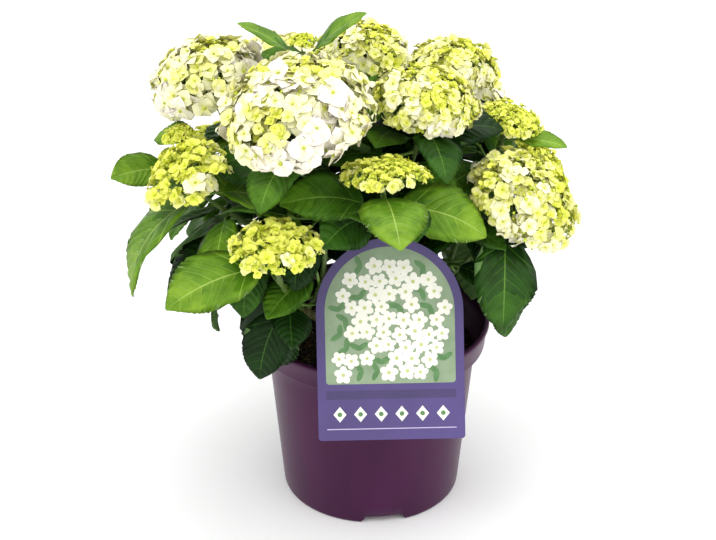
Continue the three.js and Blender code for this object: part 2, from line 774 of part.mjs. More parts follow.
const plant = new THREE.Group();
const label = labelCard(LABEL.thickness).add(labelTongue());
const pot = makePot();
const mix = makeMix(labelTongue(2 * GAP));
const crown = crownSolid();
plant.add(pot, mix);
plant.add(named("care_label", geometryOf(label), COLOURS.label, 0.4));
plant.add(named("woody_crown", geometryOf(crown), COLOURS.wood, 0.85));
stand("pot", solidOf(pot.geometry));
stand("potting_mix", solidOf(mix.geometry));
stand("care_label", label);
stand("view_of_label", labelCard(LABEL.clearInFront));
stand("woody_crown", crown);

for (const name of Object.keys(CANES)) {
  const cane = caneSolid(name);
  stand(`cane_${name}`, cane);
  plant.add(named(`cane_${name}`, geometryOf(cane), COLOURS.cane, 0.6));
}

const parts = new Map();
SHOOTS.forEach((shoot, index) => {
  const own = shoot.width > 0 ? [stemSolid(shoot), headSolid(shoot, index)] : [stemSolid(shoot)];
  own.forEach((solid) => stand(shoot.name, solid));
  parts.set(shoot.name, own);
});

// The shoots that are listed first have the first choice of room for their leaves.
SHOOTS.forEach((shoot, index) => {
  for (let pair = 0; pair < shoot.pairs; pair++) {
    for (const side of [0, 1]) {
      const pose = leafPose(shoot, index, pair, side);
      const leaf = pose.length > 0 && fittedLeaf(shoot, pose);
      if (!leaf) continue;
      stand(shoot.name, leaf);
      parts.get(shoot.name).push(leaf);
    }
  }
});

for (const shoot of SHOOTS) {
  const whole = wasm.Manifold.union(parts.get(shoot.name));
  plant.add(named(`shoot_${shoot.name}`, geometryOf(whole), STAGES[shoot.stage].colour, 0.6));
}

export default plant;
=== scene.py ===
"""Looks of a potted mophead hydrangea in flower.

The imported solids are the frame. Shoots, canes, crown, mix, label and pot are each replaced by a finer
piece in the same place. Lengths are millimetres until a mesh is made, +Z is up, the label hangs at the
front on -Y, and headings are counted about +Z from +X towards +Y.
"""

import logging
import math
from dataclasses import dataclass, field
from enum import Enum, IntEnum

import bpy
import numpy as np
from mathutils.kdtree import KDTree
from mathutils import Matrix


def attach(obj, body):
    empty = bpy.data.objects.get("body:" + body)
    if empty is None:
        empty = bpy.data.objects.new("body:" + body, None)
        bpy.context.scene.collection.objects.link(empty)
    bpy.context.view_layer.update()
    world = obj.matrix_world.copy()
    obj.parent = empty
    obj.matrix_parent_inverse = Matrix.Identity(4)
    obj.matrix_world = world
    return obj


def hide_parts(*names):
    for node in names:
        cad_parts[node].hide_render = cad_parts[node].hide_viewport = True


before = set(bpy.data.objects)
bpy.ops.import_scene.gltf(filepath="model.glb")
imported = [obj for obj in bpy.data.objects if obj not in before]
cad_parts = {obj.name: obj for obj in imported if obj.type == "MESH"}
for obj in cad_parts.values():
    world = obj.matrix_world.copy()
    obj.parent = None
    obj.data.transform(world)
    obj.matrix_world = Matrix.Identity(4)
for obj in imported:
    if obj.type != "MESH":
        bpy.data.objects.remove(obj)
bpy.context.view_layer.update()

Array = np.ndarray
MM = 0.001
GOLDEN_TURN = math.pi * (3 - math.sqrt(5))
LOG = logging.getLogger("hydrangea")


# ------------------------------------------------------------------------ arrays, chance and curves


class Use(IntEnum):
    """What a chance is for, on a leaf, a side twig, a floret, a sepal or a closed bud."""

    HEADING = 0
    RISE = 1
    DROOP = 2
    SIZE = 3
    ROLL = 4
    SHADE = 9
    TWIG_TURN = 30
    TWIG_RISE = 31
    TWIG_LENGTH = 32
    TWIG_LEAF_HEADING = 33
    TWIG_LEAF_RISE = 34
    TWIG_LEAF_DROOP = 35
    TWIG_LEAF_SIZE = 36
    TWIG_LEAF_ROLL = 37
    TWIG_SHADE = 38
    FLORET_TURN = 40
    FLORET_LUCK = 41
    FLORET_RIPENESS = 42
    FLORET_SIZE = 43
    FACING_X = 44
    FACING_Y = 45
    FACING_Z = 46
    FLORET_SPIN = 47
    FLORET_HEIGHT = 48
    SEPAL_TURN = 50
    SEPAL_LENGTH = 51
    SEPAL_OPENING = 52
    SEPAL_CURL = 53
    SEPAL_CUP = 54
    BUD_TURN = 55
    BUD_HEIGHT = 56
    BUD_SIZE = 57
    SEPAL_TWIST = 58
    CLUMP_TURN = 60


class PrintUse(IntEnum):
    """What a chance is for in the label's print."""

    ACROSS = 1
    UP = 2
    TURN = 3
    KIND = 4
    SIZE = 5


def unit(vectors: Array) -> Array:
    """Vectors of the last axis scaled to length 1."""
    return vectors / np.linalg.norm(vectors, axis=-1, keepdims=True)


def way_of(heading: Array, rise: Array) -> Array:
    """The direction at a heading and at a rise above level.

    Args:
        heading: radians about +Z, of any shape.
        rise: radians above level, of a shape that goes with it.

    Returns:
        Unit vectors, with one more axis of length 3.
    """
    heading, rise = np.broadcast_arrays(heading, rise)
    level = np.cos(rise)
    return np.stack([level * np.cos(heading), level * np.sin(heading), np.sin(rise)], axis=-1)


def round_turns(count: int) -> Array:
    """Angles in radians that part a full turn evenly."""
    return np.arange(count) * 2 * math.pi / count


def polar(radius: Array, turn: Array, level: Array) -> Array:
    """Points at a radius and a turn about the third axis, at a level along it.

    Args:
        radius: of any shape.
        turn: radians, of a shape that goes with it.
        level: of a shape that goes with both.

    Returns:
        The points, with one more axis of length 3.
    """
    radius, turn, level = np.broadcast_arrays(radius, turn, level)
    return np.stack([radius * np.cos(turn), radius * np.sin(turn), level], axis=-1)


def ball_points(turn: Array, level: Array) -> Array:
    """Points of the unit sphere: the radius at a level is the square root of 1 less its square."""
    return polar(np.sqrt(1 - level**2), turn, level)


def chance(shoot: int, part: Array, use: int) -> Array:
    """A number from 0 to 1 that depends only on the shoot, the leaf or floret, and what it is for.

    The three whole numbers are each multiplied by a prime and added, and the sum is mixed by folding its high
    bits on its low ones and multiplying, in 32 bits.

    Args:
        shoot: place of the shoot in the list.
        part: number of the leaf or floret, or an array of them.
        use: what the number is for.

    Returns:
        The chances, in the shape of part.
    """
    mask = np.uint64(0xFFFFFFFF)
    parts = np.asarray(part).astype(np.uint64) + np.uint64(1)
    mixed = parts * np.uint64(668265263) + np.uint64((shoot + 1) * 374761393 + (int(use) + 1) * 2147483629)
    mixed &= mask
    for fold, factor in ((13, 1274126177), (16, 2246822519)):
        mixed = ((mixed ^ (mixed >> np.uint64(fold))) * np.uint64(factor)) & mask
    return (mixed ^ (mixed >> np.uint64(15))).astype(float) / 2.0**32


def jitter(shoot: int, part: Array, use: int, amount: float) -> Array:
    """A chance spread evenly from minus amount to plus amount."""
    return (2 * chance(shoot, part, use) - 1) * amount


@dataclass(frozen=True)
class Bezier:
    """A Bezier curve of any degree."""

    knots: Array

    def point(self, share: Array) -> Array:
        """Points of the curve: the knots weighed by the Bernstein polynomials of the share.

        Args:
            share: curve parameter from 0 to 1, one axis.

        Returns:
            One row of 3 for each share.
        """
        degree = len(self.knots) - 1
        share = np.atleast_1d(np.asarray(share, float))[:, None]
        weights = [math.comb(degree, i) * (1 - share) ** (degree - i) * share**i for i in range(degree + 1)]
        return sum(weight * knot for weight, knot in zip(weights, self.knots))

    def tangent(self, share: Array) -> Array:
        """Unit directions of the curve, from the Bezier curve of the steps between its knots."""
        return unit(Bezier(np.diff(self.knots, axis=0)).point(share))


# ------------------------------------------------------------------------------------ mesh building


def lattice(rows: int, columns: int, wrap: bool = False) -> Array:
    """Quads between the neighbours of a grid of points, numbered row by row.

    Args:
        rows: number of rows of points.
        columns: number of points in a row.
        wrap: whether the last column joins the first.

    Returns:
        One row of 4 point numbers for each quad.
    """
    across = np.arange(columns if wrap else columns - 1)
    down = np.arange(rows - 1)[:, None]
    following = (across + 1) % columns
    corners = [down * columns + across, down * columns + following]
    corners += [(down + 1) * columns + following, (down + 1) * columns + across]
    return np.stack(corners, axis=-1).reshape(-1, 4)


def end_faces(rows: int, columns: int) -> Array:
    """The faces that close a wrapped grid: its first row, turned over, and its last."""
    return np.stack([np.arange(columns)[::-1], (rows - 1) * columns + np.arange(columns)])


def pole_faces(rows: int, columns: int) -> Array:
    """Triangles that close a wrapped grid at two points numbered after it, one at each end.

    Args:
        rows: number of rows of points.
        columns: number of points in a row.

    Returns:
        One row of 3 point numbers for each triangle.
    """
    step = np.arange(columns)
    following, last = (step + 1) % columns, (rows - 1) * columns
    below = np.stack([following, step, np.full(columns, rows * columns)], axis=1)
    above = np.stack([last + step, last + following, np.full(columns, rows * columns + 1)], axis=1)
    return np.concatenate([below, above])


def tubes(paths: Array, radii: Array, sides: int) -> tuple[Array, Array, Array]:
    """Round limbs along paths: each ring of points stands square to its path at its own radius.

    The rings are turned so that they start beside the axis of space that the path follows least.

    Args:
        paths: n paths of m points.
        radii: radius of each ring, in a shape that goes with (n, m), or with (n, m, sides) for a relief.
        sides: points in a ring.

    Returns:
        The points (n, m * sides, 3), the quads of the walls, and the two end faces.
    """
    along = unit(np.gradient(paths, axis=1))
    aside = np.eye(3)[np.abs(along.mean(axis=1)).argmin(axis=1)]
    side = unit(np.cross(along, aside[:, None, :]))
    upward = np.cross(along, side)
    turn = round_turns(sides)
    spokes = side[:, :, None, :] * np.cos(turn)[:, None] + upward[:, :, None, :] * np.sin(turn)[:, None]
    radii = np.asarray(radii, float)
    if radii.ndim < 3:
        radii = np.broadcast_to(radii, paths.shape[:2])[..., None]
    points = paths[:, :, None, :] + spokes * radii[..., None]
    rows = paths.shape[1]
    points = points.reshape(len(paths), rows * sides, 3)
    return points, lattice(rows, sides, wrap=True), end_faces(rows, sides)


class MeshStack:
    """Points and faces of many shapes, joined into one mesh."""

    def __init__(self) -> None:
        """Starts with no shapes."""
        self.points: list[Array] = []
        self.faces: list[Array] = []
        self.finishes: list[Array] = []
        self.total = 0

    def add(self, points: Array, *skins: tuple[Array, Array]) -> None:
        """Adds copies of a shape.

        Args:
            points: (v, 3) for one shape, or (n, v, 3) for n shapes with the same faces.
            skins: pairs of faces (f, k) and their finish numbers: one, (f,), (n, 1) or (n, f).
        """
        points = points.reshape((-1,) + points.shape[-2:])
        count, each = points.shape[:2]
        starts = self.total + each * np.arange(count)
        for faces, finish in skins:
            self.faces.append((faces[None] + starts[:, None, None]).reshape(-1, faces.shape[1]))
            self.finishes.append(np.broadcast_to(finish, (count, len(faces))).ravel())
        self.points.append(points.reshape(-1, 3))
        self.total += count * each

    def add_solid(self, shape: tuple[Array, Array, Array], finish: int = 0) -> None:
        """Adds copies of a closed shape in one finish, given as its points, its walls and its end faces."""
        points, walls, ends = shape
        self.add(points, (walls, finish), (ends, finish))

    def build(self, name: str, finishes: list["Finish"], smooth: bool = True) -> bpy.types.Object:
        """Makes the mesh object.

        Args:
            name: name of the piece.
            finishes: finishes in the order of their numbers.
            smooth: whether faces are shaded smooth.

        Returns:
            The object, at the origin, with its place in its mesh.
        """
        mesh = bpy.data.meshes.new(name)
        points = np.concatenate(self.points) * MM
        corners = np.concatenate([faces.ravel() for faces in self.faces])
        sizes = np.concatenate([np.full(len(faces), faces.shape[1]) for faces in self.faces])
        mesh.vertices.add(len(points))
        mesh.vertices.foreach_set("co", points.astype(np.float32).ravel())
        mesh.loops.add(len(corners))
        mesh.loops.foreach_set("vertex_index", corners.astype(np.int32))
        mesh.polygons.add(len(sizes))
        mesh.polygons.foreach_set("loop_start", (np.cumsum(sizes) - sizes).astype(np.int32))
        mesh.polygons.foreach_set("material_index", np.concatenate(self.finishes).astype(np.int32))
        mesh.polygons.foreach_set("use_smooth", np.full(len(sizes), smooth))
        mesh.update(calc_edges=True)
        mesh.validate()
        for finish in finishes:
            mesh.materials.append(finish.material())
        piece = bpy.data.objects.new(name, mesh)
        bpy.context.scene.collection.objects.link(piece)
        LOG.info("%s: %d faces", name, len(mesh.polygons))
        return piece


def settle(piece: bpy.types.Object, nodes: list[str]) -> bpy.types.Object:
    """Puts a piece on the plant's body in place of its nodes.

    Args:
        piece: the finished piece.
        nodes: nodes that it stands for.

    Returns:
        The piece.
    """
    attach(piece, "root")
    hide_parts(*nodes)
    return piece


# ----------------------------------------------------------------------------------------- finishes


def linear(colour: int) -> tuple[float, float, float, float]:
    """A colour written as a hexadecimal number of display values, as linear red, green, blue and alpha.

    Values to 0.04045 are divided by 12.92, and the rest is raised to 2.4 after its offset is taken off.

    Args:
        colour: the colour, such as 0x5A3A55.

    Returns:
        The four numbers.
    """
    shown = [((colour >> shift) & 255) / 255 for shift in (16, 8, 0)]
    light = [c / 12.92 if c <= 0.04045 else ((c + 0.055) / 1.055) ** 2.4 for c in shown]
    return (*light, 1.0)


def half_way(first: int, second: int) -> int:
    """The colour half way between two colours, worked out for red, green and blue in turn.

    Args:
        first: one colour.
        second: the other.

    Returns:
        The colour between them.
    """
    mixed = 0
    for shift in (16, 8, 0):
        low, high = first >> shift & 255, second >> shift & 255
        mixed |= round(low + (high - low) * 0.5) << shift
    return mixed


@dataclass(frozen=True)
class Finish:
    """A surface whose colour wanders between two colours, with a fine relief."""

    name: str
    colour: int
    other: int
    mottle: float = 12.0  # size of a patch of colour
    roughness: float = 0.55
    specular: float = 0.5
    coat: float = 0.0
    coat_roughness: float = 0.2
    bump: float = 0.3
    relief: float = 0.1  # height of the fine relief
    grain: float = 1.5  # size of its grains
    stretch: tuple[float, float, float] = (1.0, 1.0, 1.0)
    detail: float = 3.0
    blend: tuple[float, float] = (0.34, 0.66)  # noise at which the colour starts and ends to change

    def material(self) -> bpy.types.Material:
        """Makes the material once, and returns it after that.

        Returns:
            The material.
        """
        found = bpy.data.materials.get(self.name)
        if found:
            return found
        material = bpy.data.materials.new(self.name)
        material.use_nodes = True
        nodes, links = material.node_tree.nodes, material.node_tree.links
        shader = nodes["Principled BSDF"]
        shader.inputs["Roughness"].default_value = self.roughness
        shader.inputs["Specular IOR Level"].default_value = self.specular
        shader.inputs["Coat Weight"].default_value = self.coat
        shader.inputs["Coat Roughness"].default_value = self.coat_roughness
        place = nodes.new("ShaderNodeTexCoord")
        turn = nodes.new("ShaderNodeMapping")
        turn.inputs["Scale"].default_value = self.stretch
        links.new(place.outputs["Object"], turn.inputs["Vector"])
        ramp = nodes.new("ShaderNodeValToRGB")
        for stop, position, colour in zip(ramp.color_ramp.elements, self.blend, (self.colour, self.other)):
            stop.position = position
            stop.color = linear(colour)
        links.new(self.noise(material.node_tree, turn, self.mottle), ramp.inputs["Fac"])
        links.new(ramp.outputs["Color"], shader.inputs["Base Color"])
        bump = nodes.new("ShaderNodeBump")
        bump.inputs["Strength"].default_value = self.bump
        bump.inputs["Distance"].default_value = self.relief * MM
        links.new(self.noise(material.node_tree, turn, self.grain), bump.inputs["Height"])
        links.new(bump.outputs["Normal"], shader.inputs["Normal"])
        return material

    def noise(self, tree: bpy.types.NodeTree, turn: bpy.types.Node, size: float) -> bpy.types.NodeSocket:
        """A noise over the object's own coordinates.

        Args:
            tree: the material's nodes.
            turn: the node that gives the coordinates.
            size: size of its patches.

        Returns:
            The socket of its value.
        """
        noise = tree.nodes.new("ShaderNodeTexNoise")
        noise.inputs["Scale"].default_value = 1 / (size * MM)
        noise.inputs["Detail"].default_value = self.detail
        tree.links.new(turn.outputs["Vector"], noise.inputs["Vector"])
        return noise.outputs["Fac"]


def leaf_green(name: str, colours: tuple[int, int], roughness: float = 0.44) -> Finish:
    """The finish of a part of a leaf: satin, with a fine grain."""
    return Finish(name, *colours, mottle=16.0, roughness=roughness, specular=0.15, grain=1.1, relief=0.12)


def leaf_greens(part: str, colours: list[tuple[int, int]]) -> list[Finish]:
    """The finishes of a part of a leaf, from the youngest to the oldest, whose darker steps are partly painted
    shade.
    """
    return [leaf_green(f"{part}_{age}", pair) for age, pair in zip(AGE_AND_SHADE_STEPS, colours)]


def blade_greens() -> list[Finish]:
    """The finishes of the blades from the youngest to the oldest, each with one half a step darker for painted
    shade.

    Returns:
        Two finishes for each step: its own green and the half step darker of painted shade.
    """
    made = []
    for age, pair, next_age, darker in zip(AGE_AND_SHADE_STEPS, GREENS, AGE_AND_SHADE_STEPS[1:] + ("dark",), GREENS[1:] + [DARKEST_GREEN]):
        between = tuple(half_way(first, second) for first, second in zip(pair, darker))
        made += [leaf_green(f"leaf_{age}", pair), leaf_green(f"leaf_{age}_{next_age}", between)]
    return made


def sepal_white(name: str, colour: int, other: int) -> Finish:
    """The finish of a sepal: soft and nearly matt."""
    return Finish(f"sepal_{name}", colour, other, mottle=7.0, roughness=0.6, specular=0.3, bump=0.15)


def ink(
    name: str, colour: int, other: int, mottle: float, roughness: float = 0.38, coat: float = 0.25
) -> Finish:
    """The finish of printed card: smooth, under a thin varnish."""
    sizes = {"mottle": mottle, "roughness": roughness, "coat": coat, "bump": 0.05, "relief": 0.03}
    return Finish(name, colour, other, **sizes)


AGE_AND_SHADE_STEPS = ("young", "fresh", "full", "deep", "old")
# Greens of leaves from the youngest to the oldest. Their darker steps are partly age and partly painted shade
# of the low and inner leaves.
GREENS = [
    (0x7DA328, 0x62881B),
    (0x7CA02A, 0x5C8218),
    (0x547F1A, 0x3F6711),
    (0x355F14, 0x274A0C),
    (0x18390B, 0x102807),
]
# darker end of the half step of painted shade on the oldest green
DARKEST_GREEN = (0x112A0A, 0x0C1F06)
BLADES = blade_greens()
VEINS = leaf_greens(
    "vein",
    [
        (0x9ABC48, 0x8EB03E),
        (0x86A63C, 0x769732),
        (0x64892D, 0x577B28),
        (0x426C20, 0x38601B),
        (0x2B4F1A, 0x244415),
    ],
)
RIBS = leaf_greens(
    "rib",
    [
        (0xB0CA66, 0xA4C05C),
        (0x9CB858, 0x8EAA4E),
        (0x7EA044, 0x70923C),
        (0x5E8434, 0x52762E),
        (0x426826, 0x3A5C22),
    ],
)
UNDERSIDES = [
    leaf_green("underside_pale", (0x8DAE62, 0x7C9F57), roughness=0.6),
    leaf_green("underside_grey", (0x65874C, 0x587A43), roughness=0.6),
]

SEPALS = [
    sepal_white("green", 0xD4DE3C, 0xDFE44E),
    sepal_white("lime", 0xE6E95E, 0xEBED72),
    sepal_white("pale_lime", 0xEEEE90, 0xF0EFA2),
    sepal_white("cream", 0xF1EFBE, 0xF3F1CC),
    sepal_white("white", 0xEFEBD2, 0xF4ECE4),
]
EYE = Finish("floret_eye", 0xC4CE38, 0xB2BE2E, mottle=3.0, roughness=0.5, bump=0.1)
BUD = Finish("closed_bud", 0xC0CE34, 0xD0DA48, mottle=4.0, roughness=0.5, bump=0.1)

STALK = Finish("stalk_green", 0x86A648, 0x6E903E, mottle=9.0, roughness=0.5, bump=0.2)
STRIATED = {"grain": 2.2, "relief": 0.25, "stretch": (1.0, 1.0, 0.5)}
STEM = Finish("stem_green", 0x5F7634, 0x4A6028, mottle=14.0, roughness=0.5, **STRIATED)
PETIOLE = Finish("petiole_green", 0x6E9238, 0x587A2E, mottle=9.0, roughness=0.48, bump=0.2)
BARK = {"roughness": 0.75, "bump": 0.7, "relief": 0.5, "grain": 2.0, "stretch": (1.0, 1.0, 0.35)}
CANE_BARK = Finish("cane_bark", 0x7C7A46, 0x5E5A33, mottle=8.0, **BARK)
OLD_BARK = {"roughness": 0.85, "bump": 0.9, "relief": 1.0, "grain": 3.0, "stretch": (1.0, 1.0, 0.4)}
CROWN_BARK = Finish("crown_bark", 0x7A6242, 0x4E3C28, mottle=6.0, **OLD_BARK)
SATIN = {"roughness": 0.34, "specular": 0.15, "coat": 0.04, "coat_roughness": 0.25}
MOULDED = {"bump": 0.12, "relief": 0.06, "grain": 0.8, "stretch": (1.0, 1.0, 0.4)}
POT_PLASTIC = Finish("moulded_purple", 0x3B1236, 0x43173D, mottle=45.0, **SATIN, **MOULDED)
MIXES = [
    Finish("mix_dark", 0x1B130F, 0x2A1E17, mottle=4.0, roughness=0.95, bump=0.8, relief=0.6, grain=1.2),
    Finish("mix_bark", 0x4A3424, 0x33241A, mottle=5.0, roughness=0.9, bump=0.6, relief=0.4, grain=1.0),
    Finish("mix_fibre", 0x6A4E35, 0x553D2A, mottle=5.0, roughness=0.9, bump=0.5, relief=0.3, grain=1.0),
    Finish("mix_perlite", 0xDAD6CB, 0xC5BFB2, mottle=2.0, roughness=0.9, bump=0.5, relief=0.2, grain=0.6),
]
INKS = [
    ink("card_violet", 0x493A72, 0x50417E, 60.0, roughness=0.36, coat=0.2),
    Finish("card_edge", 0xE6E3EC, 0xD8D4E2, mottle=20.0, roughness=0.5, bump=0.05),
    ink("ink_sage", 0x8FA383, 0x7F9574, 18.0),
    ink("ink_petal", 0xEDEBDD, 0xF4F2E8, 6.0),
    ink("ink_lime", 0xC9CF8A, 0xBAC276, 4.0),
    ink("ink_leaf", 0x4E7A46, 0x5B8850, 6.0),
    ink("ink_lilac", 0xCDC5E3, 0xC2B8DD, 10.0),
    ink("ink_plum", 0x3A2D5E, 0x403266, 30.0, roughness=0.36, coat=0.3),
]
VIOLET, EDGE, SAGE, PETAL, LIME_INK, LEAF_INK, LILAC, PLUM = range(len(INKS))


# ------------------------------------------------------------------------------- the rule of growth


class Stage(Enum):
    """Ripeness of a flower head: its material slot, and the depth of its underside over its dome's rise."""

    FULL = ("white_flower", 0.55)
    CREAM = ("cream_flower", 0.55)
    LIME = ("lime_flower", 0.6)
    BUD = ("flower_bud", 0.8)
    LEAFY = ("leaf", 0.0)

    @property
    def slot(self) -> str:
        """Material slot of the record."""
        return self.value[0]

    @property
    def tuck(self) -> float:
        """Depth of the underside over the rise of the dome."""
        return self.value[1]


CANES = {
    "left": (-66, -12, 243),
    "front_left": (-63, -66, 226),
    "front": (16, -22, 262),
    "right": (70, -22, 236),
    "right_back": (54, 58, 240),
    "back": (-8, 78, 238),
    "left_back": (-66, 52, 240),
    "centre": (-14, 8, 285),
}


@dataclass(frozen=True)
class Shoot:
    """One shoot: its cane, its head and how its leaves stand, with lengths and degrees as in the solids."""

    name: str
    cane: str
    head: tuple[float, float, float]
    width: float
    rise: float
    stage: Stage
    lean: float
    turn: float  # heading of the top pair of leaves
    spin: float  # turn from one pair to the next
    lift: float
    sag: float
    pairs: int
    leaf: float  # length of a blade


SHOOTS = [
    Shoot("front_mid", "front", (9, -106, 384), 75, 17, Stage.LIME, -12, 280, 90, 14, 0, 3, 86),
    Shoot("front_left_low", "front_left", (-85, -140, 330), 78, 24, Stage.LIME, 4, 196, 124, 12, 4, 4, 92),
    Shoot("right_low", "right", (137, -40, 326), 108, 46, Stage.CREAM, 34, 268, 90, -8, 40, 3, 92),
    Shoot("left_mid", "left", (-164, -72, 368), 78, 30, Stage.LIME, 28, 188, 90, -20, 38, 3, 106),
    Shoot("top_bud", "centre", (-63, 5, 466), 24, 8, Stage.BUD, 2, 176, 90, 24, -22, 3, 60),
    Shoot("right_upper", "right", (127, 20, 381), 62, 20, Stage.LIME, 14, -12, 90, 14, -8, 3, 62),
    Shoot("left_low", "left_back", (-190, 10, 350), 22, 8, Stage.BUD, 30, 208, 90, 8, -16, 3, 66),
    Shoot("front_top", "front_left", (-65, -90, 435), 134, 47, Stage.FULL, 16, 238, 90, -6, 34, 4, 90),
    Shoot("right_top", "front", (47, -25, 418), 94, 32, Stage.CREAM, 8, 276, 90, -8, 30, 4, 84),
    Shoot("left_top", "left", (-151, 20, 419), 106, 42, Stage.FULL, 18, 130, 90, 0, 14, 4, 88),
    Shoot("right_back_top", "right_back", (78, 80, 409), 86, 30, Stage.CREAM, 10, 62, 90, 0, 8, 4, 86),
    Shoot("back_top", "centre", (-9, 72, 427), 88, 30, Stage.CREAM, 6, 60, 90, 0, 0, 4, 84),
    Shoot("left_bud", "left", (-178, -15, 383), 30, 9, Stage.BUD, 20, 120, 90, 0, 0, 2, 54),
    Shoot("right_back_low", "right_back", (156, 104, 304), 72, 24, Stage.LIME, 30, 12, 90, 8, 0, 3, 80),
    Shoot("back_left", "left_back", (-98, 118, 388), 104, 38, Stage.FULL, 18, 130, 90, 0, 12, 4, 88),
    Shoot("back_right", "right_back", (92, 160, 340), 96, 36, Stage.FULL, 26, 50, 90, 0, 18, 4, 88),
    Shoot("back_mid", "back", (4, 162, 352), 88, 32, Stage.CREAM, 24, 85, 90, 0, 14, 4, 88),
    Shoot("left_back_low", "left_back", (-164, 122, 308), 76, 26, Stage.LIME, 30, 150, 90, 4, 12, 3, 84),
    Shoot("back_low", "back", (-62, 180, 296), 66, 22, Stage.LIME, 34, 100, 90, 0, 22, 3, 84),
    Shoot("inner_front_left", "front_left", (-108, -74, 318), 0, 0, Stage.LEAFY, 20, 262, 90, -4, 14, 3, 88),
    Shoot("inner_front", "front", (58, -52, 318), 0, 0, Stage.LEAFY, 14, 336, 62, -4, 10, 3, 64),
    Shoot("inner_centre", "centre", (26, 14, 376), 0, 0, Stage.LEAFY, 10, 250, 90, 0, 10, 3, 84),
    Shoot("inner_back", "back", (-34, 116, 322), 0, 0, Stage.LEAFY, 16, 60, 90, 0, 10, 3, 88),
]


# Leaves that stand otherwise than the rule sets them, by shoot and number: degrees added to the heading
# and to the rise, what the length is multiplied by, and degrees added to the roll. A leaf of no length
# has dropped.
DROPPED = (0, 0, 0, 0)
OWN_WAYS = {
    "front_mid": {
        0: (0, -10, 1.05, 0),
        1: (0, 0, 0.75, 0),
        2: (-5, -5, 1.05, 0),
        3: (-5, 15, 0.95, 0),
        5: (-50, -5, 0.85, 0),
    },
    "front_left_low": {
        0: (5, -5, 1.1, 0),
        1: DROPPED,
        2: DROPPED,
        3: (0, 0, 0.7, 0),
        5: DROPPED,
        6: (0, -25, 0.8, 0),
    },
    "right_low": {0: (-5, -25, 1.15, 0), 2: DROPPED, 5: (15, 0, 0.95, 0)},
    "left_mid": {0: (10, 5, 1.15, 12), 2: (-10, 25, 0.6, 0)},
    "top_bud": {0: (0, -5, 1, 0), 1: (5, 5, 1.05, 0), 3: (40, 5, 0.9, 0)},
    "right_upper": {0: (-5, 20, 0.85, 15)},
    "left_low": {0: (0, 10, 0.95, -45)},
    "front_top": {0: (0, 0, 0.85, 0)},
    "right_top": {0: (-5, 20, 0.9, 0), 2: (10, 20, 0.85, 20)},
    "right_back_low": {0: (-10, 15, 0.75, 30)},
}

# The greens of single leaves, from the youngest at 0 to the oldest at 4, set leaf by leaf for how lit or shaded
# each one stands as well as for its age: partly painted light and shade.
OWN_SHADES = {
    "front_mid": {0: 1, 1: 2, 2: 1, 3: 2, 5: 3},
    "front_left_low": {0: 1, 6: 4},
    "right_low": {0: 3, 5: 3},
    "left_mid": {0: 1, 2: 1},
    "top_bud": {0: 1, 1: 1},
    "right_upper": {0: 0},
    "left_low": {0: 1},
    "front_top": {0: 2},
    "right_top": {0: 3, 2: 4},
}

# The green of the topmost leaves under a head of each stage, on the same scale. The leafy shoots inside the
# crown start darker, partly as painted shade.
TOP_SHADES = {Stage.BUD: 0.8, Stage.LIME: 1.2, Stage.CREAM: 2.3, Stage.FULL: 2.2, Stage.LEAFY: 3.0}


@dataclass
class Leaves:
    """A number of leaves, with one entry of each array for one leaf. Angles are in radians."""

    root: Array
    heading: Array
    rise: Array
    droop: Array
    length: Array
    roll: Array
    petiole: Array
    shade: Array  # place in the list of greens

    def __len__(self) -> int:
        """Number of leaves."""
        return len(self.heading)

    def pick(self, chosen: Array) -> "Leaves":
        """The chosen leaves."""
        return Leaves(**{name: values[chosen] for name, values in vars(self).items()})

    @staticmethod
    def join(groups: list["Leaves"]) -> "Leaves":
        """All leaves of several groups."""
        return Leaves(**{name: np.concatenate([vars(g)[name] for g in groups]) for name in vars(groups[0])})

    def midrib(self, run: Array) -> tuple[Array, Array, Array]:
        """Points and frames along the midribs, each an arc of a circle in a vertical plane.

        The slope falls evenly with the run. Forward and upward are the integrals of its cosine and sine.

        Args:
            run: lengths along the midrib, in a shape that goes with (n, m).

        Returns:
            The points, the sideways directions and the directions out of the upper side, each (n, m, 3).
        """
        droop, rise, heading = self.droop[:, None], self.rise[:, None], self.heading[:, None]
        bend = droop / (self.petiole + self.length)[:, None]
        slope = rise - bend * run
        forward = (np.sin(rise) - np.sin(slope)) / bend
        upward = (np.cos(slope) - np.cos(rise)) / bend
        out = way_of(heading, np.zeros_like(slope))
        level = np.stack([-out[..., 1], out[..., 0], np.zeros_like(slope)], axis=-1)
        normal = np.cross(way_of(heading, slope), level)
        cos, sin = np.cos(self.roll)[:, None, None], np.sin(self.roll)[:, None, None]
        points = self.root[:, None] + out * forward[..., None] + np.array([0, 0, 1.0]) * upward[..., None]
        return points, level * cos + normal * sin, normal * cos - level * sin


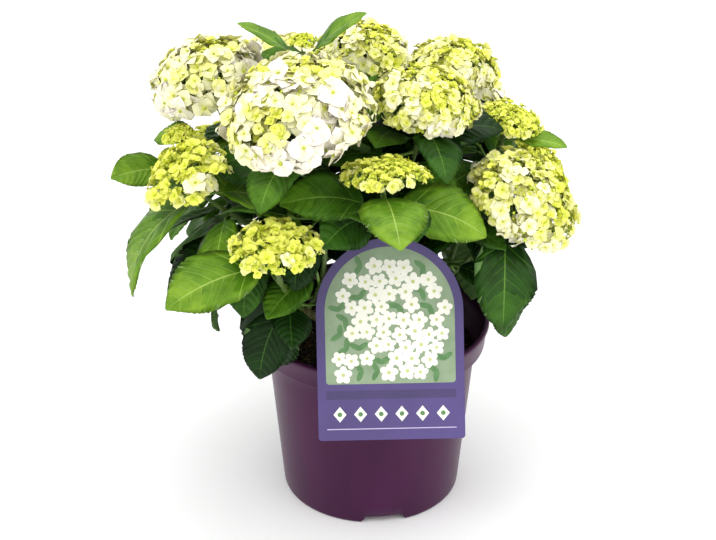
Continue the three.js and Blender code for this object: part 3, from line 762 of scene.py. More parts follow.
@dataclass
class GrowthRule:
    """Where stems and leaves stand: the rule that the solids follow, with its sizes."""

    mix_level: float = 158.0
    crown_height: float = 34.0
    foot_level: float = 0.6  # where the canes leave the crown, as a share of its height
    foot_reach: float = 12.5
    cane_sag: float = 8.0
    start_pull: float = 0.3
    end_pull: float = 0.25
    stem_end: float = 0.7  # how deep in the head's underside the stem ends
    fork_rise: float = 48.0
    fork_turn: float = 124.0
    first_node: float = 0.1
    node_step: float = 0.18
    petiole: float = 17.0
    rise_by_pair: tuple[float, ...] = (22, 12, 2, -8)
    size_by_pair: tuple[float, ...] = (0.9, 1.0, 1.0, 0.9)
    jitter_by_pair: tuple[float, ...] = (0.3, 0.8, 1.2, 1.5)
    follow_lean: float = 24.0
    droop: float = 46.0
    heading_jitter: float = 13.0
    rise_jitter: float = 9.0
    droop_jitter: float = 18.0
    size_jitter: float = 0.1
    roll_jitter: float = 18.0
    face_out: float = 30.0  # degrees by which a leaf turns its upper side away from the plant's middle
    inner_reach: float = 60.0  # distance from the middle within which it does so less
    shade_step: float = 0.9  # how much darker each pair is than the one above: partly age, partly painted shade of the lower leaves
    shade_jitter: float = 0.7
    try_sizes: tuple[float, ...] = (1, 0.82, 0.66)
    try_turns: tuple[float, ...] = (0, 20, -20)
    try_tilts: tuple[float, ...] = (0, 9, -9, 18, -18, 27, -27)
    tip_match: float = 0.4  # how near a leaf's tip lies to a corner of its solid

    def cane_curve(self, name: str) -> Bezier:
        """The cane's curve, from its foot on the crown to its knuckle, sagging a little in between.

        Args:
            name: the cane.

        Returns:
            The curve.
        """
        ring = [other for other in CANES if other != "centre"]
        x, y, _ = CANES[ring[0]]
        turn = ring.index(name) * 2 * math.pi / len(ring) if name in ring else 0.0
        reach = self.foot_reach if name in ring else 0.0
        foot = way_of(math.atan2(y, x) + turn, 0.0) * reach
        foot[2] = self.mix_level + self.crown_height * self.foot_level
        end = np.array(CANES[name], float)
        bend = (foot + end) / 2 - [0, 0, self.cane_sag]
        return Bezier(np.array([foot, bend, end]))

    def head_axis(self, shoot: Shoot) -> Array:
        """The axis of a head, which leans away from the plant's middle."""
        x, y, _ = shoot.head
        return way_of(math.atan2(y, x), math.pi / 2 - math.radians(shoot.lean))

    def fork_way(self, shoot: Shoot) -> Array:
        """The way in which a shoot leaves its knuckle, in the order of the heads round the cane.

        Args:
            shoot: the shoot.

        Returns:
            A unit vector.
        """
        x, y, _ = CANES[shoot.cane]
        mates = [mate for mate in SHOOTS if mate.cane == shoot.cane]
        headings = [math.atan2(mate.head[1] - y, mate.head[0] - x) for mate in mates]
        middle = math.atan2(sum(map(math.sin, headings)), sum(map(math.cos, headings)))
        turns = [math.atan2(math.sin(h - middle), math.cos(h - middle)) for h in headings]
        own = turns[mates.index(shoot)]
        place = sum(turn < own for turn in turns)
        step = math.radians(min(self.fork_turn, 360 / len(mates)))
        return way_of(middle + (place - (len(mates) - 1) / 2) * step, math.radians(self.fork_rise))

    def stem_curve(self, shoot: Shoot) -> Bezier:
        """The stem's curve, from the knuckle to the underside of the head, which it meets along its axis.

        Args:
            shoot: the shoot.

        Returns:
            The curve.
        """
        axis = self.head_axis(shoot)
        start = np.array(CANES[shoot.cane], float)
        end = np.array(shoot.head, float) - axis * shoot.rise * shoot.stage.tuck * self.stem_end
        reach = np.linalg.norm(end - start)
        first = start + self.fork_way(shoot) * reach * self.start_pull
        return Bezier(np.array([start, first, end - axis * reach * self.end_pull, end]))

    def leaf(self, shoot: Shoot, index: int, pair: int, side: int) -> Leaves:
        """One leaf as the rule first sets it.

        Args:
            shoot: its shoot.
            index: place of the shoot in the list.
            pair: number of the pair, from the top.
            side: 0 or 1.

        Returns:
            A group of one leaf.
        """
        part = pair * 2 + side
        share = 1 - self.first_node - pair * self.node_step
        curve = self.stem_curve(shoot)

        def stray(use: Use, amount: float) -> float:
            """Jitter that grows down the stem."""
            return float(jitter(index, part, use, amount * self.jitter_by_pair[pair]))

        own_turn, own_tilt, own_size, own_roll = OWN_WAYS.get(shoot.name, {}).get(part, (0, 0, 1, 0))
        usual = shoot.turn + shoot.spin * pair + 180 * side
        heading = math.radians(usual + own_turn + stray(Use.HEADING, self.heading_jitter))
        root = curve.point(share)
        tangent = curve.tangent(share)[0]
        leaning = math.cos(heading) * tangent[0] + math.sin(heading) * tangent[1]
        sideways = math.cos(heading) * root[0, 1] - math.sin(heading) * root[0, 0]
        outward = sideways / max(self.inner_reach, math.hypot(root[0, 0], root[0, 1]))
        rise = self.rise_by_pair[pair] - self.follow_lean * leaning + shoot.lift + own_tilt
        rise += stray(Use.RISE, self.rise_jitter)
        length = shoot.leaf * self.size_by_pair[pair] * own_size * (1 + stray(Use.SIZE, self.size_jitter))
        return Leaves(
            root=root,
            heading=np.array([heading]),
            rise=np.radians([rise]),
            droop=np.radians([self.droop + shoot.sag + stray(Use.DROOP, self.droop_jitter)]),
            length=np.array([length]),
            roll=np.radians([stray(Use.ROLL, self.roll_jitter) - self.face_out * outward + own_roll]),
            petiole=np.array([self.petiole]),
            shade=np.array([self.shade(shoot, index, part)]),
        )

    def shade(self, shoot: Shoot, index: int, part: int) -> int:
        """Which green a leaf has: its own, or brighter near a young head and darker down the stem, for age and
        as painted shade.

        Args:
            shoot: its shoot.
            index: place of the shoot in the list.
            part: number of the leaf.

        Returns:
            Place in the list of greens.
        """
        own = OWN_SHADES.get(shoot.name, {}).get(part)
        if own is not None:
            return own
        stray = float(jitter(index, part, Use.SHADE, self.shade_jitter))
        shade = round(TOP_SHADES[shoot.stage] + self.shade_step * (part // 2) + stray)
        return int(np.clip(shade, 0, len(GREENS) - 1))

    def standing_leaves(self, shoot: Shoot, index: int) -> list[Leaves]:
        """The leaves of a shoot that stand in its solid.

        Each leaf tries its sizes, turns and tilts in order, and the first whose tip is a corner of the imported
        solid is the one that stands there.

        Args:
            shoot: the shoot.
            index: its place in the list.

        Returns:
            The leaves, each as a group of one.
        """
        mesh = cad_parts[f"shoot_{shoot.name}"].data
        corners = np.zeros(len(mesh.vertices) * 3, np.float32)
        mesh.vertices.foreach_get("co", corners)
        corners = corners.reshape(-1, 3) / MM
        tries = np.array([(a, b, c) for a in self.try_sizes for b in self.try_turns for c in self.try_tilts])
        found = []
        for part in range(2 * shoot.pairs):
            first = self.leaf(shoot, index, part // 2, part % 2)
            if first.length[0] == 0:
                continue
            tried = first.pick(np.zeros(len(tries), int))
            tried.length = tried.length * tries[:, 0]
            tried.heading = tried.heading + np.radians(tries[:, 1])
            tried.rise = tried.rise + np.radians(tries[:, 2])
            tips = tried.midrib((tried.petiole + tried.length)[:, None])[0][:, 0]
            gaps = np.linalg.norm(tips[:, None] - corners[None], axis=-1).min(axis=1)
            fits = np.flatnonzero(gaps < self.tip_match)
            if len(fits):
                found.append(tried.pick(fits[:1]))
        return found


RULE = GrowthRule()


# --------------------------------------------------------------------------------------- the leaves


@dataclass
class LeafBlade:
    """The surface of a leaf: a toothed, quilted blade with sunken veins, closed by its underside."""

    width_share: float = 0.73
    fold: float = 13.0
    laterals: int = 7
    first_vein: float = 0.11
    last_vein: float = 0.83
    vein_half: float = 0.0045
    between_veins: tuple[float, float] = (0.36, 0.68)  # rows between two side veins, as shares of their step
    strip_heights: tuple[float, ...] = (-0.6, -0.6, 0.8, 0.9)
    base_stations: tuple[float, ...] = (0.004, 0.022, 0.06)
    base_heights: tuple[float, ...] = (0, 0.2, 0.5)
    tip_stations: tuple[float, ...] = (0.97, 0.994)
    tip_heights: tuple[float, ...] = (0.2, 0)
    sweep: float = 0.5  # how far the side veins run forward
    sweep_start: float = 0.2  # share of the length from which they do so fully
    sweep_power: float = 1.15
    columns: tuple[float, ...] = (-1.0, -0.7, -0.34, -0.022, 0.022, 0.34, 0.7, 1.0)
    under: tuple[float, ...] = (0.82, 0.4, 0.0, -0.4, -0.82)
    tooth: float = 0.022
    quilt: float = 0.013  # height of the quilting over the length
    quilt_across: tuple[float, ...] = (0.1, 0.9, 1, 0.35)  # its share at the places below
    quilt_places: tuple[float, ...] = (0.03, 0.34, 0.7, 1)
    margin_curl: float = 0.16
    groove: float = -0.005
    wave: float = 0.05
    wave_pitch: float = 11.0
    phase_by_roll: float = 40.0  # what the wave's start takes from the leaf's roll
    phase_by_heading: float = 3.0  # and from its heading
    thickness: float = 0.7
    under_share: float = 0.35  # how much lower still the underside lies, to the thickness
    base_painted_shade: float = 2.6  # half steps of painted shade at the base of the blade
    painted_shade_power: float = 1.7
    rim_shade_spared: float = 0.5  # share of the painted shade that the margin is spared, so that it stays lighter

    def rows(self) -> tuple[Array, Array, Array]:
        """Stations along the blade.

        Each side vein is a narrow strip between two rows, and two rows between it and the next carry the
        quilting.

        Returns:
            The stations as shares of the length, their heights from -1 on a vein to 1 between two veins, and
            for each strip between two rows whether it is a vein.
        """
        veins = np.linspace(self.first_vein, self.last_vein, self.laterals)[:, None]
        step = (self.last_vein - self.first_vein) / (self.laterals - 1)
        group = veins + [-self.vein_half, self.vein_half, *(share * step for share in self.between_veins)]
        stations = np.concatenate([self.base_stations, group.ravel(), self.tip_stations])
        strips = np.tile(self.strip_heights, self.laterals)
        heights = np.concatenate([self.base_heights, strips, self.tip_heights])
        is_vein = np.concatenate([[False] * 3, np.tile([True, False, False, False], self.laterals), [False]])
        return stations, heights, is_vein

    def teeth(self) -> Array:
        """Which way the margin juts at each row: out and in by turns, with both rows of a vein alike.

        Returns:
            1 or -1 for each row.
        """
        _, _, is_vein = self.rows()
        order = np.concatenate([[0], np.cumsum(~is_vein)])
        return np.where(order % 2, 1.0, -1.0)

    def outline(self, share: Array) -> Array:
        """Half the width at a share of the length, from 0 at the round base over 1 to 0 at the drawn-out tip.

        It is a power of the share, times a power of what is left, times 1 less a high power of the share.

        Args:
            share: shares of the length.

        Returns:
            The half widths, in the same shape.
        """
        share = np.clip(share, 0, 1)
        return 2.296 * share**0.58 * (1 - share) ** 0.62 * (1 - 0.6 * share**7)

    def surface(self, leaves: Leaves) -> tuple[Array, Array, Array]:
        """The blades as closed shells.

        A point is given by its row and its place across. Rows sweep forward from the midrib with the side
        veins, and the half width is the outline times the place across. The height is a fold, less a curl
        of the margin, plus the quilting, less the groove of the midrib, plus a slow wave of the margin.

        Args:
            leaves: the leaves.

        Returns:
            The points (n, rows * loop, 3), the quads and the end faces.
        """
        stations, heights, _ = self.rows()
        across = np.array(self.columns + self.under)
        on_top = np.arange(len(across)) < len(self.columns)
        ramp = np.clip(stations / self.sweep_start, 0, 1)[:, None]
        sweep = self.sweep * (1 - stations[:, None]) * ramp * np.abs(across) ** self.sweep_power
        share = stations[:, None] + sweep
        width = self.width_share / 2 * self.outline(share)
        teeth = 1 + self.tooth * self.teeth()[:, None] * (np.abs(across) == 1)
        length = leaves.length[:, None, None]
        lean = math.radians(self.fold)
        sideways = across * width * teeth * math.cos(lean) * length
        arch = math.sin(lean) * np.abs(across) - self.margin_curl * across**2
        spread = np.interp(np.abs(across), self.quilt_places, self.quilt_across)
        groove = np.where((np.abs(across) < 0.1) & on_top, self.groove, 0)
        phase = leaves.roll * self.phase_by_roll + leaves.heading * self.phase_by_heading
        bend = np.sin(share * self.wave_pitch + phase[:, None, None] + np.sign(across))
        wave = self.wave * bend * np.abs(across) ** 3 * width
        height = (width * arch + self.quilt * heights[:, None] * spread + groove + wave) * length
        height = np.where(on_top, height, height - self.thickness - self.under_share * self.thickness)
        run = leaves.petiole[:, None, None] + share * length
        count, rows, loop = run.shape[0], len(stations), len(across)
        points, side, normal = leaves.midrib(run.reshape(count, rows * loop))
        points = points + side * sideways.reshape(count, -1, 1) + normal * height.reshape(count, -1, 1)
        return points, lattice(rows, loop, wrap=True)[:, ::-1], end_faces(rows, loop)[:, ::-1]

    def finish_numbers(self, leaves: Leaves) -> Array:
        """Finish of each quad: the blade's green, a vein's paler one, the midrib's palest, or the underside.

        The blade darkens in half steps towards its base and midrib as painted shade: by a power of what is left
        of the length, less towards the margin, which stays lighter.

        Args:
            leaves: the leaves.

        Returns:
            The finish numbers (n, quads).
        """
        stations, _, is_vein = self.rows()
        place = np.arange(len(self.columns) + len(self.under))
        is_rib = place == len(self.columns) // 2 - 1
        is_under = place >= len(self.columns) - 1
        middles = np.convolve(self.columns, [0.5, 0.5], "valid")
        rim = np.abs(np.append(middles, np.zeros(len(self.under) + 1)))
        left = 1 - ((stations[1:] + stations[:-1]) / 2)[:, None]
        # painted shade: half steps darker towards the base and the midrib, less at the margin
        darker = self.base_painted_shade * left**self.painted_shade_power * (1 - self.rim_shade_spared * rim)
        darker = np.clip(np.round(darker), 0, 2).astype(int)
        shade = leaves.shade[:, None, None]
        blades, veins = len(BLADES), len(BLADES) + len(VEINS)
        blade = np.clip(2 * shade + darker, 0, blades - 1)
        numbers = np.where(is_rib, veins + shade, np.where(is_vein[:, None], blades + shade, blade))
        numbers = np.where(is_under, veins + len(RIBS) + (shade > 1), numbers)
        return numbers.reshape(len(leaves), -1)


@dataclass
class Foliage:
    """All leaves: those that the solids hold, and smaller ones on side twigs that fill the crown."""

    blade: LeafBlade = field(default_factory=LeafBlade)
    twig_length: float = 24.0
    twig_rise: float = 30.0
    twig_sag: float = 1.5
    twig_leaf: float = 56.0
    twig_petiole: float = 9.0
    leaf_spread: float = 70.0  # half the angle between the two leaves of a twig
    leaf_rise: float = 14.0
    leaf_droop: float = 44.0
    first_shade: int = 2  # the brightest green of these leaves, which take only darker greens: partly painted shade inside the crown
    shades: int = 3
    turn_stray: float = 70.0
    rise_stray: float = 40.0
    length_stray: float = 0.4
    leaf_heading_stray: float = 30.0
    leaf_rise_stray: float = 22.0
    leaf_droop_stray: float = 20.0
    leaf_size_stray: float = 0.25
    leaf_roll_stray: float = 20.0
    first_axil: int = 2
    bare_axils: int = 4  # axils below the lowest pair of leaves that may bear a twig
    lowest_share: float = 0.12  # share of the stem below which there is none
    clearance: float = 8.0
    tries: int = 12
    label_clear: float = 70.0
    low_limit: float = 188.0  # side twigs keep above the pot's rim
    high_limit: float = 385.0  # and below the flower heads
    reach_limit: float = 165.0  # and inside the crown
    sample_places: tuple[float, ...] = (0.15, 0.4, 0.65, 0.9)
    sample_breadth: float = 0.7

    def grow(self) -> tuple[Leaves, list[Array]]:
        """Grows the leaves.

        Returns:
            All leaves, and the paths of the side twigs.
        """
        standing = [RULE.standing_leaves(shoot, index) for index, shoot in enumerate(SHOOTS)]
        groups = [leaf for leaves in standing for leaf in leaves]
        LOG.info("%d leaves stand in the solids", len(groups))
        taken = [self.samples(leaf) for leaf in groups]
        twigs: list[Array] = []
        for index, shoot in enumerate(SHOOTS):
            for part in range(self.first_axil, 2 * shoot.pairs + self.bare_axils):
                made = self.side_twig(shoot, index, part, np.concatenate(taken))
                if made is None:
                    continue
                leaves, path = made
                groups += leaves
                taken += [self.samples(leaf) for leaf in leaves]
                twigs.append(path)
        LOG.info("%d leaves in all, %d side twigs", len(groups), len(twigs))
        return Leaves.join(groups), twigs

    def samples(self, leaf: Leaves) -> Array:
        """Points spread over a leaf's blade, for testing what is near it.

        Args:
            leaf: a group of one leaf.

        Returns:
            One row of 3 for each point.
        """
        share = np.array(self.sample_places)
        run = leaf.petiole[:, None] + share * leaf.length[:, None]
        points, side, _ = leaf.midrib(run)
        half = (0.5 * self.blade.width_share * self.blade.outline(share) * leaf.length[:, None])[..., None]
        aside = self.sample_breadth * half * side
        return np.concatenate([points, points + aside, points - aside], 1).reshape(-1, 3)

    def is_clear(self, leaf: Leaves, taken: Array) -> bool:
        """Whether a new leaf keeps clear of other leaves, of the heads, of the label and of the rim.

        Args:
            leaf: the new leaf.
            taken: points of the leaves that stand already.

        Returns:
            True if it may stand.
        """
        own = self.samples(leaf)
        if own[:, 2].min() < self.low_limit or own[:, 2].max() > self.high_limit:
            return False
        if np.hypot(own[:, 0], own[:, 1]).max() > self.reach_limit or LABEL.is_behind(own, self.label_clear):
            return False
        if np.linalg.norm(own[:, None] - taken[None], axis=-1).min() < self.clearance:
            return False
        return not any(head.holds(own) for head in HEADS)

    def twig_leaf_at(self, end: Array, turn: float, index: int, seed: int, side: int) -> Leaves:
        """One of the two leaves at a side twig's end.

        Args:
            end: the end of the twig.
            turn: heading of the twig in degrees.
            index: place of the shoot in the list.
            seed: number of the twig's trial.
            side: 0 or 1.

        Returns:
            A group of one leaf.
        """

        def stray(use: Use, amount: float) -> float:
            """Jitter of this leaf."""
            return float(jitter(index, seed * 2 + side, use, amount))

        heading = turn + self.leaf_spread - 2 * self.leaf_spread * side
        size = 1 + stray(Use.TWIG_LEAF_SIZE, self.leaf_size_stray)
        shade = self.first_shade + int(self.shades * chance(index, seed, Use.TWIG_SHADE))
        return Leaves(
            root=end[None],
            heading=np.radians([heading + stray(Use.TWIG_LEAF_HEADING, self.leaf_heading_stray)]),
            rise=np.radians([self.leaf_rise + stray(Use.TWIG_LEAF_RISE, self.leaf_rise_stray)]),
            droop=np.radians([self.leaf_droop + stray(Use.TWIG_LEAF_DROOP, self.leaf_droop_stray)]),
            length=np.array([self.twig_leaf * size]),
            roll=np.radians([stray(Use.TWIG_LEAF_ROLL, self.leaf_roll_stray)]),
            petiole=np.array([self.twig_petiole]),
            shade=np.array([min(len(GREENS) - 1, shade)]),
        )

    def side_twig(
        self, shoot: Shoot, index: int, part: int, taken: Array
    ) -> tuple[list[Leaves], Array] | None:
        """A short twig from the axil of a leaf, with a pair of smaller leaves, or with one if only one fits.

        Args:
            shoot: the shoot that bears it.
            index: place of the shoot in the list.
            part: number of the axil, counted as the leaves are.
            taken: points of the leaves that stand already.

        Returns:
            The leaves and the twig's path, or None if no leaf fits.
        """
        share = max(self.lowest_share, 1 - RULE.first_node - (part // 2) * RULE.node_step)
        start = RULE.stem_curve(shoot).point(share)[0]
        usual = shoot.turn + shoot.spin * (part // 2) + 180 * (part % 2)
        for trial in range(self.tries):
            seed = part * 64 + trial
            turn = usual + jitter(index, seed, Use.TWIG_TURN, self.turn_stray)
            rise = self.twig_rise + jitter(index, seed, Use.TWIG_RISE, self.rise_stray)
            reach = self.twig_length * (1 + jitter(index, seed, Use.TWIG_LENGTH, self.length_stray))
            end = start + way_of(math.radians(turn), math.radians(rise)) * reach
            pair = [self.twig_leaf_at(end, turn, index, seed, side) for side in (0, 1)]
            leaves = [leaf for leaf in pair if self.is_clear(leaf, taken)]
            if leaves:
                return leaves, np.stack([start, (start + end) / 2 - [0, 0, self.twig_sag], end])
        return None

    def build(self, leaves: Leaves) -> None:
        """Makes the joined mesh of all blades.

        Args:
            leaves: all leaves.
        """
        stack = MeshStack()
        points, quads, ends = self.blade.surface(leaves)
        numbers = self.blade.finish_numbers(leaves)
        stack.add(points, (quads, numbers), (ends, 2 * leaves.shade[:, None]))
        piece = stack.build("leaves", BLADES + VEINS + RIBS + UNDERSIDES)
        settle(piece, [f"shoot_{shoot.name}" for shoot in SHOOTS])


# --------------------------------------------------------------------------------- the flower heads


@dataclass(frozen=True)
class HeadStyle:
    """How a head's florets look: their sizes, and how ripe they are in its clumps and towards its rim."""

    young_size: float
    ripe_size: float
    cover: float
    clumps: int
    young: float  # ripeness in the middle of a clump at the top
    clump_gain: float  # ripening towards the edge of a clump
    rim_gain: float  # ripening towards the rim of the head
    uprightness: float  # how far the florets turn from square to the dome towards its axis
    crevice: float  # how far the florets draw in from the edges of their clump
    top_skin: float  # height of the florets at the top as a share of the dome's
    rim_skin: float  # the same at the rim
    ragged: float  # how much that share and the facing stray
    buds: float  # closed buds to a floret
    lowest: float  # level of the lowest florets, where -1 is the foot of the underside


STYLES = {
    Stage.FULL: HeadStyle(8.5, 26.0, 2.2, 8, 0.05, 0.74, 0.42, 0.15, 0.14, 0.9, 0.93, 0.08, 0.3, -0.42),
    Stage.CREAM: HeadStyle(8.5, 21.0, 1.8, 8, 0.02, 0.52, 0.26, 0.25, 0.16, 0.89, 0.95, 0.09, 0.4, -0.42),
    Stage.LIME: HeadStyle(8.5, 19.0, 1.2, 9, 0.04, 0.18, 0.24, 0.6, 0.24, 0.7, 0.95, 0.15, 0.9, -0.24),
    Stage.BUD: HeadStyle(5.0, 9.0, 1.1, 5, 0.02, 0.1, 0.1, 0.8, 0.1, 0.7, 0.9, 0.14, 1.0, -0.16),
}

# How far the florets of some heads have grown beyond or behind their stage.
GROWTH = {"front_mid": 0.85, "right_upper": 0.85, "front_left_low": 1.2, "left_mid": 1.35}


@dataclass
class FlowerHead:
    """A domed head of florets over the unit sphere, scaled to its width, rise and tucked underside."""

    shoot: Shoot
    index: int
    margin: float = 1.06  # share of the dome's height within which a point lies inside
    flatness: float = 0.85  # area of the dome over that of a half sphere as wide
    floret_area: float = 0.7  # area of a floret over the square of its size
    mean_place: float = 0.6  # place of the usual floret between the middle of its clump and the edge
    clump_reach: float = 0.62  # radius of a clump over the side of its share of the dome
    fewest: int = 10
    levels: int = 200
    turn_stray: float = 0.25
    clump_stray: float = 0.5
    ripeness_stray: float = 0.12

    def __post_init__(self) -> None:
        """Works out the head's own frame."""
        self.growth = GROWTH.get(self.shoot.name, 1.0)
        self.style = STYLES[self.shoot.stage]
        self.centre = np.array(self.shoot.head, float)
        self.axis = RULE.head_axis(self.shoot)
        across = unit(np.cross([0.0, 1.0, 0.0], self.axis))
        self.frame = np.stack([across, np.cross(self.axis, across), self.axis])

    def half_widths(self, up: Array) -> Array:
        """Half the dome's width, the same again, and its rise, or below the rim the depth of its underside.

        Args:
            up: height over the rim, (n,).

        Returns:
            One row of 3 for each.
        """
        depth = self.shoot.rise * np.where(up > 0, 1.0, self.shoot.stage.tuck)
        radius = np.full(len(up), self.shoot.width / 2)
        return np.stack([radius, radius, depth], axis=1)

    def place(self, ways: Array, height: Array) -> Array:
        """Points over the dome.

        Args:
            ways: directions on the unit sphere, with the head's axis as the third.
            height: share of the dome's height in each direction.

        Returns:
            The points in the plant's frame.
        """
        return self.centre + (ways * self.half_widths(ways[:, 2]) * height[:, None]) @ self.frame

    def facing(self, ways: Array) -> Array:
        """Directions square to the dome: each direction over the half widths, in the plant's frame."""
        return unit((ways / self.half_widths(ways[:, 2])) @ self.frame)

    def holds(self, points: Array) -> bool:
        """Whether any of the points lies inside the dome."""
        local = (points - self.centre) @ self.frame.T
        return bool((np.linalg.norm(local / self.half_widths(local[:, 2]), axis=1) < self.margin).any())

    def size_at(self, ripe: Array) -> Array:
        """Width of a floret of a ripeness."""
        return self.growth * (self.style.young_size + (self.style.ripe_size - self.style.young_size) * ripe)

    def down(self, level: Array) -> Array:
        """How far down the head a level lies, from 0 at its top to 1 at its lowest florets."""
        return (1 - level) / (1 - self.style.lowest)

    def spiral(self, count: int, stray: float, use: Use) -> Array:
        """Directions spread evenly over the dome by a golden spiral, with some stray in its turn.

        Args:
            count: number of directions.
            stray: the most by which a turn strays, in radians.
            use: what the stray is for.

        Returns:
            Unit vectors, one row of 3 for each.
        """
        number = np.arange(count)
        level = 1 - (number + 0.5) / count * (1 - self.style.lowest)
        return ball_points(number * GOLDEN_TURN + jitter(self.index, number, use, stray), level)

    def spots(self) -> tuple[Array, Array]:
        """Where the florets sit: a golden spiral whose spacing follows their size, gathered into clumps.

        The number of florets is the area of the dome over the area of a floret, summed over the levels, and
        each floret takes an equal part of that sum. Then it moves towards the nearest clump's middle, the
        more the farther it is from there, so that crevices open between the clumps.

        Returns:
            Directions on the unit sphere, and each floret's ripeness.
        """
        style = self.style
        levels = np.linspace(1, style.lowest, self.levels)
        mean = style.young + self.mean_place * style.clump_gain + style.rim_gain * self.down(levels)
        dome = 2 * math.pi * (self.shoot.width / 2) ** 2 * self.flatness * (1 - style.lowest)
        share = style.cover * dome / (self.floret_area * self.size_at(mean) ** 2)
        total = np.concatenate([[0], np.cumsum((share[1:] + share[:-1]) / 2 / (len(levels) - 1))])
        count = max(self.fewest, round(float(total[-1])))
        number = np.arange(count)
        level = np.interp((number + 0.5) / count * total[-1], total, levels)
        turn = number * GOLDEN_TURN + jitter(self.index, number, Use.FLORET_TURN, self.turn_stray)
        ways = ball_points(turn, level)
        clumps = self.spiral(style.clumps, self.clump_stray, Use.CLUMP_TURN)
        gaps = np.linalg.norm(ways[:, None] - clumps[None], axis=-1)
        near = clumps[gaps.argmin(axis=1)]
        spacing = self.clump_reach * math.sqrt(2 * math.pi * (1 - style.lowest) / style.clumps)
        out = np.clip(gaps.min(axis=1) / spacing, 0, 1)
        ripe = style.young + style.clump_gain * out + style.rim_gain * self.down(level)
        ripe = ripe + jitter(self.index, number, Use.FLORET_RIPENESS, self.ripeness_stray)
        pull = (style.crevice * out**2)[:, None]
        return unit(ways * (1 - pull) + near * pull), ripe

    def skin(self, ways: Array) -> Array:
        """Height of the florets' middles as a share of the dome's, growing evenly from its top to its rim."""
        down = np.clip(1 - ways[:, 2], 0, 1)
        return self.style.top_skin + (self.style.rim_skin - self.style.top_skin) * down


HEADS = [FlowerHead(shoot, index) for index, shoot in enumerate(SHOOTS) if shoot.stage is not Stage.LEAFY]


